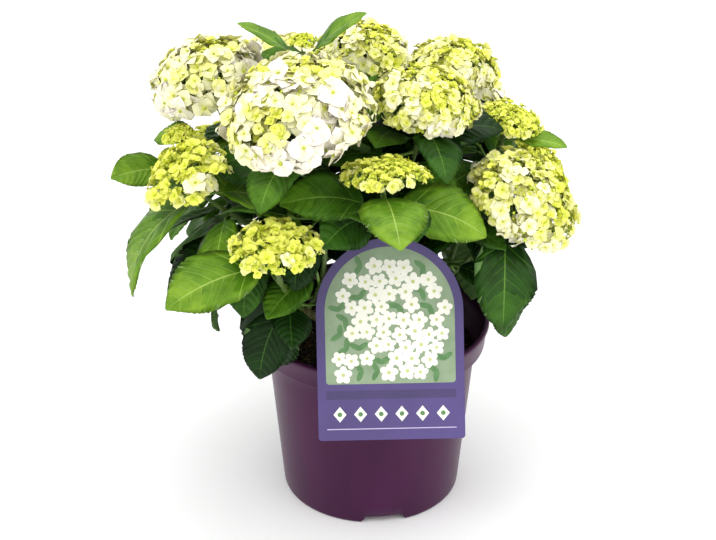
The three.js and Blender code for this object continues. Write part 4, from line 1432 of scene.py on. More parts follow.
@dataclass
class Florets:
    """The florets of a head: four broad sepals round a small eye, each a few faces, or closed round buds.

    Some traits of a sepal are given as its value on a green floret, what full ripeness adds, and its stray.
    """

    along: tuple[float, ...] = (0.0, 0.36, 0.72, 1.0)
    widths: tuple[float, ...] = (0.24, 0.95, 0.86, 0.06)
    full_along: tuple[float, ...] = (0.0, 0.26, 0.54, 0.82, 1.0)  # the same on the ripest heads
    full_widths: tuple[float, ...] = (0.22, 0.84, 1.0, 0.62, 0.03)
    across: tuple[float, ...] = (-1.0, -0.4, 0.4, 1.0)
    young_breadth: float = 0.42  # half the width of a young sepal over its length
    ripe_breadth: float = 0.6
    opening: tuple[float, float, float] = (0.96, -0.62, 0.2)
    curl: tuple[float, float, float] = (0.34, 0.26, 0.16)
    cup: tuple[float, float, float] = (0.34, -0.26, 0.07)
    cup_depth: float = 0.6
    twist_stray: float = 0.34
    turn_stray: float = 0.16
    length_stray: float = 0.12
    blunt_tip: float = 0.06
    shortening: float = 0.55  # how much shorter a rising sepal reaches
    overlap: float = 0.03  # how far every second sepal lies over its neighbours
    steps: tuple[float, ...] = (0.1, 0.36, 0.58, 0.82)  # ripeness at which the colour changes
    size_stray: float = 0.2
    facing_stray: float = 0.3
    young_depth: float = 0.06  # how much lower the youngest florets sit
    inner_share: float = 0.5  # florets under the outer ones, to one of those
    inner_depth: float = 0.13  # how much lower they sit, as a share of the dome's height
    inner_step: int = 3
    # share of the ripeness of the floret that an inner one follows; set high so that they are paler, partly
    # painted light that brightens the gaps between the outer florets
    inner_ripeness_and_painted_light: float = 0.85
    lucky_share: float = 0.1  # florets low on a large lime head that are ripe before the others
    lucky_level: float = 0.4
    lucky_ripeness: float = 0.7
    eye_lift: float = 0.06
    eye_share: float = 0.05
    least_eye: float = 0.3
    bud_radius: float = 1.5
    bud_depth: float = 0.02
    bud_turn_stray: float = 2.0
    bud_height_stray: float = 0.1
    bud_size_stray: float = 0.35
    bead_levels: tuple[float, ...] = (-0.72, 0.0, 0.72)

    def scatter(self, head: FlowerHead) -> dict[str, Array]:
        """Places, facings, sizes and ripeness of a head's florets.

        Every so many florets, a younger one stands on a shorter stalk between them.

        Args:
            head: the head.

        Returns:
            Arrays with one entry for each floret, by name.
        """
        ways, ripe = head.spots()
        outer = len(ways)
        inner = np.arange(round(outer * self.inner_share))
        source = (inner / self.inner_share).astype(int)
        following = np.minimum(source + self.inner_step, outer - 1)
        ways = np.concatenate([ways, unit(ways[source] + ways[following])])
        ripe = np.concatenate([ripe, self.inner_ripeness_and_painted_light * ripe[source]])
        number = np.arange(len(ways))
        style, index = head.style, head.index
        if head.shoot.stage is Stage.LIME and head.growth > 1:
            is_lucky = chance(index, number, Use.FLORET_LUCK) > 1 - self.lucky_share
            is_lucky &= (ways[:, 2] < self.lucky_level) & (number < outer)
            ripe = np.where(is_lucky, self.lucky_ripeness, ripe)
        ripe = np.clip(ripe, 0, 1)
        size = head.size_at(ripe) * (1 + jitter(index, number, Use.FLORET_SIZE, self.size_stray))
        amount = self.facing_stray + 2 * style.ragged
        uses = (Use.FACING_X, Use.FACING_Y, Use.FACING_Z)
        stray = np.stack([jitter(index, number, use, amount) for use in uses], axis=1)
        height = head.skin(ways) + jitter(index, number, Use.FLORET_HEIGHT, style.ragged)
        height = height - self.young_depth * (1 - ripe) - self.inner_depth * (number >= outer)
        return {
            "centre": head.place(ways, height),
            "facing": unit(head.facing(ways) + style.uprightness * head.axis + stray),
            "size": size,
            "ripe": ripe,
            "spin": chance(index, number, Use.FLORET_SPIN) * math.pi,
            "number": number,
        }

    def closed_buds(self, head: FlowerHead, count: int) -> dict[str, Array]:
        """Places, facings and sizes of the closed buds between a head's florets.

        Args:
            head: the head.
            count: number of buds.

        Returns:
            Arrays with one entry for each bud, by name.
        """
        ways = head.spiral(count, self.bud_turn_stray, Use.BUD_TURN)
        number = np.arange(count)
        stray = jitter(head.index, number, Use.BUD_HEIGHT, self.bud_height_stray)
        height = head.skin(ways) + stray - self.bud_depth
        size = 2 * self.bud_radius * (1 + jitter(head.index, number, Use.BUD_SIZE, self.bud_size_stray))
        return {"centre": head.place(ways, height), "facing": head.facing(ways), "size": size}

    def sepals(self, spots: dict[str, Array], index: int) -> tuple[Array, Array, Array]:
        """Four sepals to a floret.

        A point lies out from the middle by its share of the sepal's length, and sideways by the width there.
        Its height is a rise less a curl with the square of the share, plus a cup with the square of its place
        across, plus a twist.

        Args:
            spots: the florets.
            index: place of the shoot in the list.

        Returns:
            The points (n * 4, v, 3), the quads, and the finish numbers (n * 4, quads).
        """
        is_full = SHOOTS[index].stage is Stage.FULL
        shape = (self.full_along, self.full_widths) if is_full else (self.along, self.widths)
        along, widths, across = (np.array(values) for values in (*shape, self.across))
        along, widths = along[:, None], widths[:, None]
        count = len(spots["size"])
        number = (spots["number"][:, None] * 4 + np.arange(4)).ravel()
        ripe = np.repeat(spots["ripe"], 4)

        def trait(sizes: tuple[float, float, float], use: Use) -> Array:
            """A trait of each sepal, from its three sizes."""
            green, gain, stray = sizes
            return (green + gain * ripe + jitter(index, number, use, stray))[:, None, None]

        normal = np.repeat(spots["facing"], 4, axis=0)
        aside = np.where(np.abs(normal[:, :1]) < 0.8, [[1.0, 0, 0]], [[0, 1.0, 0]])
        first = unit(np.cross(normal, aside))
        second = np.cross(normal, first)
        turn = np.repeat(spots["spin"], 4) + np.tile(np.arange(4) * math.pi / 2, count)
        turn = (turn + jitter(index, number, Use.SEPAL_TURN, self.turn_stray))[:, None]
        out = first * np.cos(turn) + second * np.sin(turn)
        side = np.cross(normal, out)
        stray = jitter(index, number, Use.SEPAL_LENGTH, self.length_stray)
        length = np.repeat(spots["size"], 4) / 2 * (1 + stray)
        opening = trait(self.opening, Use.SEPAL_OPENING)
        curl = trait(self.curl, Use.SEPAL_CURL)
        cup = trait(self.cup, Use.SEPAL_CUP)
        twist = jitter(index, number, Use.SEPAL_TWIST, self.twist_stray)[:, None, None]
        breadth = (self.young_breadth + (self.ripe_breadth - self.young_breadth) * ripe)[:, None, None]
        ahead = along + self.blunt_tip * (along == 1) * (np.abs(across) < 1)
        reach = ahead / np.sqrt(1 + self.shortening * opening**2)
        width = breadth * widths * across
        height = opening * ahead - curl * ahead**2 + cup * self.cup_depth * across**2 * widths
        height = height + twist * width + self.overlap * (1 + np.tile([0, 1], count * 2))[:, None, None]
        frames = ((out, reach), (side, width), (normal, height))
        grid = sum(way[:, None, None, :] * amount[..., None] for way, amount in frames)
        grid = np.repeat(spots["centre"], 4, axis=0)[:, None, None, :] + length[:, None, None, None] * grid
        rows, columns = len(along), len(across)
        colour = np.searchsorted(self.steps, ripe)[:, None] - (np.arange(rows - 1) == 0)
        numbers = np.repeat(np.clip(colour, 0, len(SEPALS) - 1), columns - 1, axis=1)
        return grid.reshape(count * 4, rows * columns, 3), lattice(rows, columns), numbers

    def beads(self, centres: Array, radii: Array, sides: int = 6) -> tuple[Array, Array, Array]:
        """Small round beads: rings of a sphere at a few levels, closed by two points.

        Args:
            centres: (n, 3).
            radii: (n,).
            sides: points in a ring.

        Returns:
            The points, the quads between rings and the triangles at both poles.
        """
        levels = np.array(self.bead_levels)[:, None]
        rows = len(levels)
        rings = ball_points(round_turns(sides), levels).reshape(-1, 3)
        ball = np.concatenate([rings, [[0, 0, -1], [0, 0, 1]]])
        points = centres[:, None] + ball * radii[:, None, None]
        return points, lattice(rows, sides, wrap=True), pole_faces(rows, sides)

    def build(self, stage: Stage) -> list[tuple[FlowerHead, dict[str, Array]]]:
        """Makes the joined blossom of all heads of one stage.

        Args:
            stage: the ripeness of the heads.

        Returns:
            The heads with their florets, for the stalks.
        """
        stack = MeshStack()
        made = []
        for head in HEADS:
            if head.shoot.stage is not stage:
                continue
            spots = self.scatter(head)
            points, quads, numbers = self.sepals(spots, head.index)
            stack.add(points, (quads, numbers))
            lifted = spots["centre"] + spots["facing"] * spots["size"][:, None] * self.eye_lift
            eyes = self.eye_share * spots["size"] + self.least_eye
            stack.add_solid(self.beads(lifted, eyes, sides=4), len(SEPALS))
            buds = self.closed_buds(head, round(head.style.buds * len(spots["size"])))
            stack.add_solid(self.beads(buds["centre"], buds["size"] / 2), len(SEPALS) + 1)
            made.append((head, {key: np.concatenate([spots[key], buds[key]]) for key in buds}))
        piece = stack.build(f"blossom_{stage.name.lower()}", SEPALS + [EYE, BUD])
        settle(piece, [f"shoot_{head.shoot.name}" for head, _ in made])
        return made


# --------------------------------------------------------------------------------- stems and stalks


@dataclass
class Stems:
    """The shoots' stems, the leaves' stalks, the side twigs, and the branches and stalks inside the heads."""

    foot_radius: float = 2.6
    tip_radius: float = 2.0
    rows: int = 30
    sides: int = 8
    node_swelling: float = 0.9
    node_length: float = 0.018
    petiole_sides: int = 6
    petiole_rows: int = 6
    petiole_places: tuple[float, ...] = (0.0, 0.25, 1.0, 1.12)  # beyond 1 it is sunk into the blade
    petiole_radii: tuple[float, ...] = (2.0, 1.35, 1.0, 0.4)
    twig_radii: tuple[float, ...] = (1.7, 1.4, 1.2)
    fewest_rays: int = 5
    florets_per_ray: int = 12
    ray_spread: float = 1.15
    ray_reach: float = 0.58
    ray_bow: float = 0.12
    ray_sides: int = 5
    ray_radii: tuple[float, ...] = (1.5, 1.1, 1.0, 0.9)
    thinnest: float = 0.45  # how thick the rays of the smallest head are
    full_width: float = 90.0  # width of a head from which they are at their thickest
    stalk_radius: float = 0.45
    stalk_radii: tuple[float, ...] = (1.0, 0.8, 1.1)
    stalk_sides: int = 4
    stalk_bow: float = 0.12
    stalk_sink: float = 0.5

    def build(
        self, leaves: Leaves, twigs: list[Array], heads: list[tuple[FlowerHead, dict[str, Array]]]
    ) -> None:
        """Makes the joined mesh of everything green that carries leaves and florets.

        Args:
            leaves: all leaves.
            twigs: paths of the side twigs.
            heads: the heads with their florets.
        """
        stack = MeshStack()
        self.add_stems(stack)
        self.add_petioles(stack, leaves)
        stack.add_solid(tubes(np.stack(twigs), np.array([self.twig_radii]), self.petiole_sides), 1)
        for head, spots in heads:
            self.add_rays(stack, head, spots)
        piece = stack.build("stems", [STEM, PETIOLE, STALK])
        settle(piece, [f"shoot_{shoot.name}" for shoot in SHOOTS])

    def add_stems(self, stack: MeshStack) -> None:
        """Stems taper from knuckle to head, and swell where a pair of leaves stands.

        Args:
            stack: the stems' mesh.
        """
        share = np.linspace(0, 1, self.rows)
        paths = np.stack([RULE.stem_curve(shoot).point(share) for shoot in SHOOTS])
        radii = np.tile(self.foot_radius + (self.tip_radius - self.foot_radius) * share, (len(SHOOTS), 1))
        for row, shoot in enumerate(SHOOTS):
            nodes = 1 - RULE.first_node - np.arange(shoot.pairs) * RULE.node_step
            bumps = np.exp(-(((share[:, None] - nodes) / self.node_length) ** 2)).sum(axis=1)
            radii[row] += self.node_swelling * bumps
        stack.add_solid(tubes(paths, radii, self.sides))

    def add_petioles(self, stack: MeshStack, leaves: Leaves) -> None:
        """Leaf stalks follow the midrib's arc, thick at the stem and sunk into the blade.

        Args:
            stack: the stems' mesh.
            leaves: all leaves.
        """
        share = np.linspace(0, self.petiole_places[-1], self.petiole_rows)
        paths, _, _ = leaves.midrib(leaves.petiole[:, None] * share)
        radii = np.interp(share, self.petiole_places, self.petiole_radii)
        stack.add_solid(tubes(paths, radii[None], self.petiole_sides), 1)

    def add_rays(self, stack: MeshStack, head: FlowerHead, spots: dict[str, Array]) -> None:
        """Rays fork from the stem's tip inside the head, and each floret's stalk leaves the nearest ray.

        Args:
            stack: the stems' mesh.
            head: the head.
            spots: its florets.
        """
        count = self.fewest_rays + len(spots["size"]) // self.florets_per_ray
        number = np.arange(count)
        ways = ball_points(number * GOLDEN_TURN, 1 - (number + 0.5) / count * self.ray_spread)
        tips = head.place(ways, np.full(count, self.ray_reach))
        base = RULE.stem_curve(head.shoot).knots[-1]
        share = np.linspace(0, 1, len(self.ray_radii))[:, None]
        bow = head.axis * np.sin(math.pi * share) * head.shoot.rise * self.ray_bow
        paths = base + (tips[:, None] - base) * share + bow
        thickness = self.thinnest + (1 - self.thinnest) * min(1.0, head.shoot.width / self.full_width)
        stack.add_solid(tubes(paths, np.array([self.ray_radii]) * thickness, self.ray_sides), 2)
        tree = KDTree(count)
        for i, tip in enumerate(tips):
            tree.insert(tip, i)
        tree.balance()
        start = tips[[tree.find(centre)[1] for centre in spots["centre"]]]
        end = spots["centre"] - spots["facing"] * self.stalk_sink
        reach = np.linalg.norm(end - start, axis=1)[:, None]
        bend = (start + end) / 2 - spots["facing"] * reach * self.stalk_bow
        radii = np.array([self.stalk_radii]) * self.stalk_radius * thickness
        stack.add_solid(tubes(np.stack([start, bend, end], axis=1), radii, self.stalk_sides), 2)


# ------------------------------------------------------------------------------ the crown and canes


@dataclass(frozen=True)
class Relief:
    """A rough relief round and along a limb: a sum of waves that close round it, each lower than the last."""

    seed: int
    waves: int = 7
    folds: tuple[int, int] = (1, 9)  # waves round the limb, from the first number to below the second
    pitches: tuple[float, float] = (0.05, 0.32)  # radians to a millimetre along it
    widest_start: float = 6.3
    fading: float = 0.35

    def heights(self, turn: Array, run: Array) -> Array:
        """Heights from -1 to 1.

        Args:
            turn: radians round the limb.
            run: place along the limb, in a shape that goes with it.

        Returns:
            The heights, in the shape of both.
        """
        dice = np.random.default_rng(self.seed)
        total = np.zeros(np.broadcast(turn, run).shape)
        for wave in range(self.waves):
            folds = dice.integers(*self.folds)
            pitch = dice.uniform(*self.pitches)
            start = dice.uniform(0, self.widest_start)
            total += np.sin(folds * turn + pitch * run + start) / (1 + self.fading * wave)
        return total / np.abs(total).max()


@dataclass
class Woodwork:
    """The woody crown and the canes, with the relief of their bark."""

    foot_radius: float = 4.4
    tip_radius: float = 3.5
    knuckle: float = 6.6
    knuckle_length: float = 5.5
    cap_steps: tuple[float, ...] = (2.0, 4.0, 5.6)  # rings beyond the cane's tip
    cap_radii: tuple[float, ...] = (0.93, 0.76, 0.42)  # their radii over the knuckle's
    scar: float = 0.5
    scar_start: float = 6.0
    scar_step: float = 24.0
    scar_length: float = 1.2
    sides: int = 18
    rows: int = 60
    fissure: float = 0.4
    first_seed: int = 11
    crown_radii: tuple[float, ...] = (21.0, 18.5, 17.0, 15.5, 12.0, 6.5)
    crown_levels: tuple[float, ...] = (0.0, 6.0, 18.0, 26.0, 31.0, 34.0)
    crown_rows: int = 40
    crown_sides: int = 96
    crown_lift: float = 0.3
    crown_lobes: float = 0.07
    crown_shrink: float = 0.03
    crown_fissure: float = 0.9
    crown_pitch: float = 2.2
    full_fissure_radius: float = 14.0  # radius from which the crown's fissures have their full depth
    crown_relief: Relief = Relief(seed=5, waves=11)

    def build(self) -> None:
        """Makes the canes and the crown."""
        self.build_canes()
        self.build_crown()

    def build_canes(self) -> None:
        """Canes taper from foot to tip, with leaf scars as low rings and a swollen knuckle at the tip."""
        stack = MeshStack()
        turn = round_turns(self.sides)
        for number, name in enumerate(CANES):
            curve = RULE.cane_curve(name)
            path = curve.point(np.linspace(0, 1, self.rows))
            cap = path[-1] + curve.tangent(1.0)[0] * np.array(self.cap_steps)[:, None]
            path = np.concatenate([path, cap])
            run = np.concatenate([[0], np.cumsum(np.linalg.norm(np.diff(path, axis=0), axis=1))])
            tip = run[self.rows - 1]
            radius = self.foot_radius + (self.tip_radius - self.foot_radius) * np.clip(run / tip, 0, 1)
            bulge = np.exp(-(((run - tip) / self.knuckle_length) ** 2))
            radius += (self.knuckle - self.tip_radius) * bulge
            from_scar = ((run - self.scar_start) % self.scar_step) - self.scar_step / 2
            radius += self.scar * np.exp(-((from_scar / self.scar_length) ** 2))
            radius[self.rows :] = self.knuckle * np.array(self.cap_radii)
            rough = Relief(self.first_seed + number).heights(turn, run[:, None])
            stack.add_solid(tubes(path[None], (radius[:, None] + self.fissure * rough)[None], self.sides))
        piece = stack.build("canes", [CANE_BARK])
        settle(piece, [f"cane_{name}" for name in CANES])

    def build_crown(self) -> None:
        """The stump: its radius follows a profile, swollen towards the canes' feet, with deep bark relief."""
        height = np.linspace(0, self.crown_levels[-1], self.crown_rows)[:, None]
        radius = np.interp(height, self.crown_levels, self.crown_radii)
        turn = round_turns(self.crown_sides)
        x, y, _ = CANES["left"]
        lobes = 1 + self.crown_lobes * np.cos((len(CANES) - 1) * (turn - math.atan2(y, x)))
        rough = self.crown_relief.heights(turn, height * self.crown_pitch)
        depth = np.clip(radius / self.full_fissure_radius, 0.2, 1)
        radii = radius * (lobes - self.crown_shrink) + self.crown_fissure * rough * depth
        grid = polar(radii, turn, RULE.mix_level + self.crown_lift + height).reshape(-1, 3)
        size = (self.crown_rows, self.crown_sides)
        stack = MeshStack()
        stack.add_solid((grid, lattice(*size, wrap=True), end_faces(*size)))
        settle(stack.build("crown", [CROWN_BARK]), ["woody_crown"])


# ------------------------------------------------------------------------------ the pot and its mix


@dataclass
class NurseryPot:
    """A moulded pot with a stepped collar, a foot ring with three notches, and drain holes."""

    height: float = 185.0
    rim_radius: float = 115.0
    foot_radius: float = 88.0
    shoulder_radius: float = 102.0
    collar_height: float = 27.0
    collar_step: float = 9.0
    wall: float = 2.0
    foot_height: float = 8.0
    foot_width: float = 7.0
    foot_slope: float = 2.0
    disc_radius: float = 46.0
    notches: int = 3
    notch_width: float = 40.0
    notch_heading: float = -82.0
    notch_slope: float = 2.6  # degrees over which the foot rises to a notch
    notch_squeeze: float = 0.12  # what is left of a level inside a notch
    notch_roof: float = 0.6  # how far the top of a notch is below that of the foot
    foot_rings: int = 20  # rings from the middle up the outside, among which those of the foot are
    drains: int = 6
    drain_radius: float = 5.0
    drain_heading: float = 20.0
    drain_levels: tuple[float, ...] = (-4.0, 6.0, 18.0)
    drain_sides: int = 24
    segments: int = 216

    @property
    def roof(self) -> float:
        """Radius of the inner edge of the foot ring's underside."""
        return self.foot_radius - self.foot_width - self.foot_slope

    def wall_radius(self, level: float) -> float:
        """Outer radius of the body wall at a level."""
        shoulder = self.height - self.collar_height
        return self.foot_radius + (self.shoulder_radius - self.foot_radius) * level / shoulder

    def profile(self) -> Array:
        """Radius and level of each ring, from the middle of the underside up the outside and down the inside.

        The small numbers are the steps of the rounded corners of the foot, the collar and the rim.

        Returns:
            One row of radius and level for each ring.
        """
        shoulder = self.height - self.collar_height
        collar = self.shoulder_radius + self.collar_step
        roof = self.roof
        top, rim, wall, foot = self.height, self.rim_radius, self.wall, self.foot_height
        arc = np.radians(np.linspace(0, 90, 5))
        outer = np.stack([rim - 1.6 + 1.6 * np.cos(arc), top - 1.6 + 1.6 * np.sin(arc)], axis=1)
        inner = np.stack([rim - 3.2 - 1.3 * np.sin(arc), top - 1.3 + 1.3 * np.cos(arc)], axis=1)
        lower = [[0, 0], [self.disc_radius - 1, 0], [self.disc_radius, 0.3], [self.disc_radius + 4, foot]]
        ring = [[roof, foot], [roof + 2, 0.4], [roof + 2.6, 0], [self.foot_radius - 1.8, 0]]
        side = [[self.foot_radius - 0.5, 0.5], [self.foot_radius, 1.8]]
        body = [[self.wall_radius(level), level] for level in np.linspace(4, shoulder - 1.2, 12)]
        step = [[self.shoulder_radius + 0.4, shoulder], [collar - 1.4, shoulder + 1.9]]
        step += [[collar, shoulder + 3.2]]
        band = [[collar + 0.3, shoulder + 5], [rim - 1.9, top - 5], [rim - 1.3, top - 4.4], [rim, top - 3.6]]
        inside = [[rim - 4.6, top - 3], [collar - wall, shoulder + 4.5]]
        inside += [[self.shoulder_radius - wall, shoulder + 1.5]]
        floor = [[self.wall_radius(foot + wall) - wall, foot + wall], [self.disc_radius + 2.5, foot + wall]]
        middle = [[self.disc_radius - 1.5, wall], [0, wall]]
        parts = [lower, ring, side, body, step, band, outer, inner, inside, floor, middle]
        return np.concatenate([np.array(part, float) for part in parts])

    def build(self) -> None:
        """Turns the profile about the axis, lifts the foot ring at the notches, and bores the drain holes."""
        profile = self.profile()[1:-1]
        radius, level = profile[:, :1], profile[:, 1:]
        turn = round_turns(self.segments)
        spread = 360 / self.notches
        from_notch = (np.degrees(turn) - self.notch_heading + spread / 2) % spread - spread / 2
        half = math.degrees(self.notch_width / 2 / self.foot_radius)
        lift = np.clip((half + 1.2 - np.abs(from_notch)) / self.notch_slope, 0, 1)
        outer_foot = (radius > self.disc_radius + 10) & (level < self.foot_height)
        outer_foot &= np.arange(len(profile))[:, None] < self.foot_rings
        raised = np.maximum(level, level * self.notch_squeeze + (self.foot_height - self.notch_roof) * lift)
        grid = polar(radius, turn, np.where(outer_foot, raised, level)).reshape(-1, 3)
        points = np.concatenate([grid, [[0, 0, 0], [0, 0, self.wall]]])
        size = (len(profile), self.segments)
        stack = MeshStack()
        stack.add_solid((points, lattice(*size, wrap=True), pole_faces(*size)))
        pot = stack.build("nursery_pot", [POT_PLASTIC])
        self.bore(pot)
        settle(pot, ["pot"])

    def bore(self, pot: bpy.types.Object) -> None:
        """Cuts the drain holes, evenly spaced round the base, through the pot's floor.

        Args:
            pot: the moulded pot.
        """
        reach = (self.disc_radius + self.roof) / 2 + 1
        heading = np.radians(self.drain_heading + np.arange(self.drains) * 360 / self.drains)
        paths = polar(reach, heading[:, None], np.array(self.drain_levels))
        stack = MeshStack()
        stack.add_solid(tubes(paths, self.drain_radius, self.drain_sides))
        cutter = stack.build("drain_cutter", [POT_PLASTIC], smooth=False)
        cut = pot.modifiers.new("drains", "BOOLEAN")
        cut.operation = "DIFFERENCE"
        cut.solver = "EXACT"
        cut.object = cutter
        graph = bpy.context.evaluated_depsgraph_get()
        bored = bpy.data.meshes.new_from_object(pot.evaluated_get(graph))
        pot.modifiers.clear()
        pot.data = bored
        bpy.data.objects.remove(cutter)


@dataclass
class PottingMix:
    """Loose mix that fills the pot: an uneven surface strewn with bark chips, fibres and a little perlite."""

    edge_level: float = 153.0
    centre_level: float = 158.0
    crown_reach: float = 29.0  # radius of the flat middle
    slope_length: float = 65.0
    sink: float = 0.9
    bottom: float = 10.3
    gap: float = 2.5
    first_radius: float = 1.5
    rings: int = 60
    columns: int = 160
    chips: int = 1500
    beads: int = 60
    seed: int = 77
    edge_gap: float = 5.0
    middle_gap: float = 0.04  # share of the surface round the middle that has no chips
    lift: float = 0.2
    bead_sizes: tuple[float, float] = (0.8, 1.5)
    chip_sizes: tuple[float, float] = (1.2, 5.5)
    chip_widths: tuple[float, float] = (0.2, 0.7)
    chip_thickness: tuple[float, float] = (0.3, 0.9)
    bead_thickness: float = 0.8
    bends: tuple[float, float] = (0.6, 1.1)
    tilts: tuple[float, float] = (-0.5, 0.5)
    cants: tuple[float, float] = (-0.4, 0.4)

    def surface_level(self, x: Array, y: Array) -> Array:
        """Level of the surface: a low crown, with waves of three lengths for its unevenness.

        Args:
            x: places to the right.
            y: places towards the back.

        Returns:
            The levels.
        """
        slope = np.clip((np.hypot(x, y) - self.crown_reach) / self.slope_length, 0, 1)
        level = self.centre_level + (self.edge_level - self.centre_level) * slope
        level = level + 0.9 * np.sin(x / 9 + 1) * np.cos(y / 11)
        level = level + 0.6 * np.sin(x / 4.1) * np.sin(y / 3.7 + 2) + 0.35 * np.sin(x / 1.9 + y / 2.3)
        return level - self.sink

    def build(self, pot: NurseryPot) -> None:
        """Makes the body of the mix and its chips.

        Args:
            pot: the pot that it fills.
        """
        turn = round_turns(self.columns)
        top = pot.wall_radius(self.edge_level) - self.gap
        grid = polar(np.linspace(self.first_radius, top, self.rings)[:, None], turn, 0.0)
        grid[..., 2] = self.surface_level(grid[..., 0], grid[..., 1])
        foot = polar(pot.wall_radius(self.bottom) - self.gap, turn, self.bottom)
        points = np.concatenate([foot[None], grid[::-1]]).reshape(-1, 3)
        size = (self.rings + 1, self.columns)
        stack = MeshStack()
        stack.add_solid((points, lattice(*size, wrap=True), end_faces(*size)))
        self.strew(stack, top)
        settle(stack.build("mix", MIXES, smooth=False), ["potting_mix"])

    def strew(self, stack: MeshStack, top: float) -> None:
        """Chips are bent boxes that lie nearly flat. Beads of perlite are small ones with equal sides.

        Args:
            stack: the mix's mesh.
            top: radius of the surface.
        """
        dice = np.random.default_rng(self.seed)
        count = self.chips + self.beads
        radius = (top - self.edge_gap) * np.sqrt(dice.uniform(self.middle_gap, 1, count))
        base = polar(radius, dice.uniform(0, 2 * math.pi, count), 0.0)
        base[:, 2] = self.surface_level(base[:, 0], base[:, 1]) + self.lift
        is_bead = np.arange(count) >= self.chips
        long = np.where(is_bead, dice.uniform(*self.bead_sizes, count), dice.uniform(*self.chip_sizes, count))
        wide = np.where(is_bead, long, long * dice.uniform(*self.chip_widths, count))
        thick = np.where(is_bead, long * self.bead_thickness, dice.uniform(*self.chip_thickness, count))
        square = ((-1, -1), (1, -1), (1, 1), (-1, 1))
        corners = np.array([[x, y, z] for z in (-1, 1) for x, y in square], float)
        shape = corners * np.stack([long, wide, thick], axis=1)[:, None]
        shape = shape * dice.uniform(*self.bends, (count, 8, 3))
        heading = dice.uniform(0, 2 * math.pi, count)
        out = way_of(heading, dice.uniform(*self.tilts, count))
        side = way_of(heading + math.pi / 2, dice.uniform(*self.cants, count))
        up = np.cross(out, side)
        points = base[:, None] + shape[..., :1] * out[:, None] + shape[..., 1:2] * side[:, None]
        points = points + shape[..., 2:] * up[:, None]
        faces = np.array([[3, 2, 1, 0], [4, 5, 6, 7], [0, 1, 5, 4], [1, 2, 6, 5], [2, 3, 7, 6], [3, 0, 4, 7]])
        perlite = len(MIXES) - 1
        kind = np.where(is_bead, perlite, dice.integers(0, perlite, count))
        stack.add(points, (faces, kind[:, None]))


# ----------------------------------------------------------------------------------- the care label


@dataclass(frozen=True)
class Print:
    """A flat shape printed on the card: its outline and the colour it is printed in."""

    outline: Array
    ink: int
    layer: float = 1.0


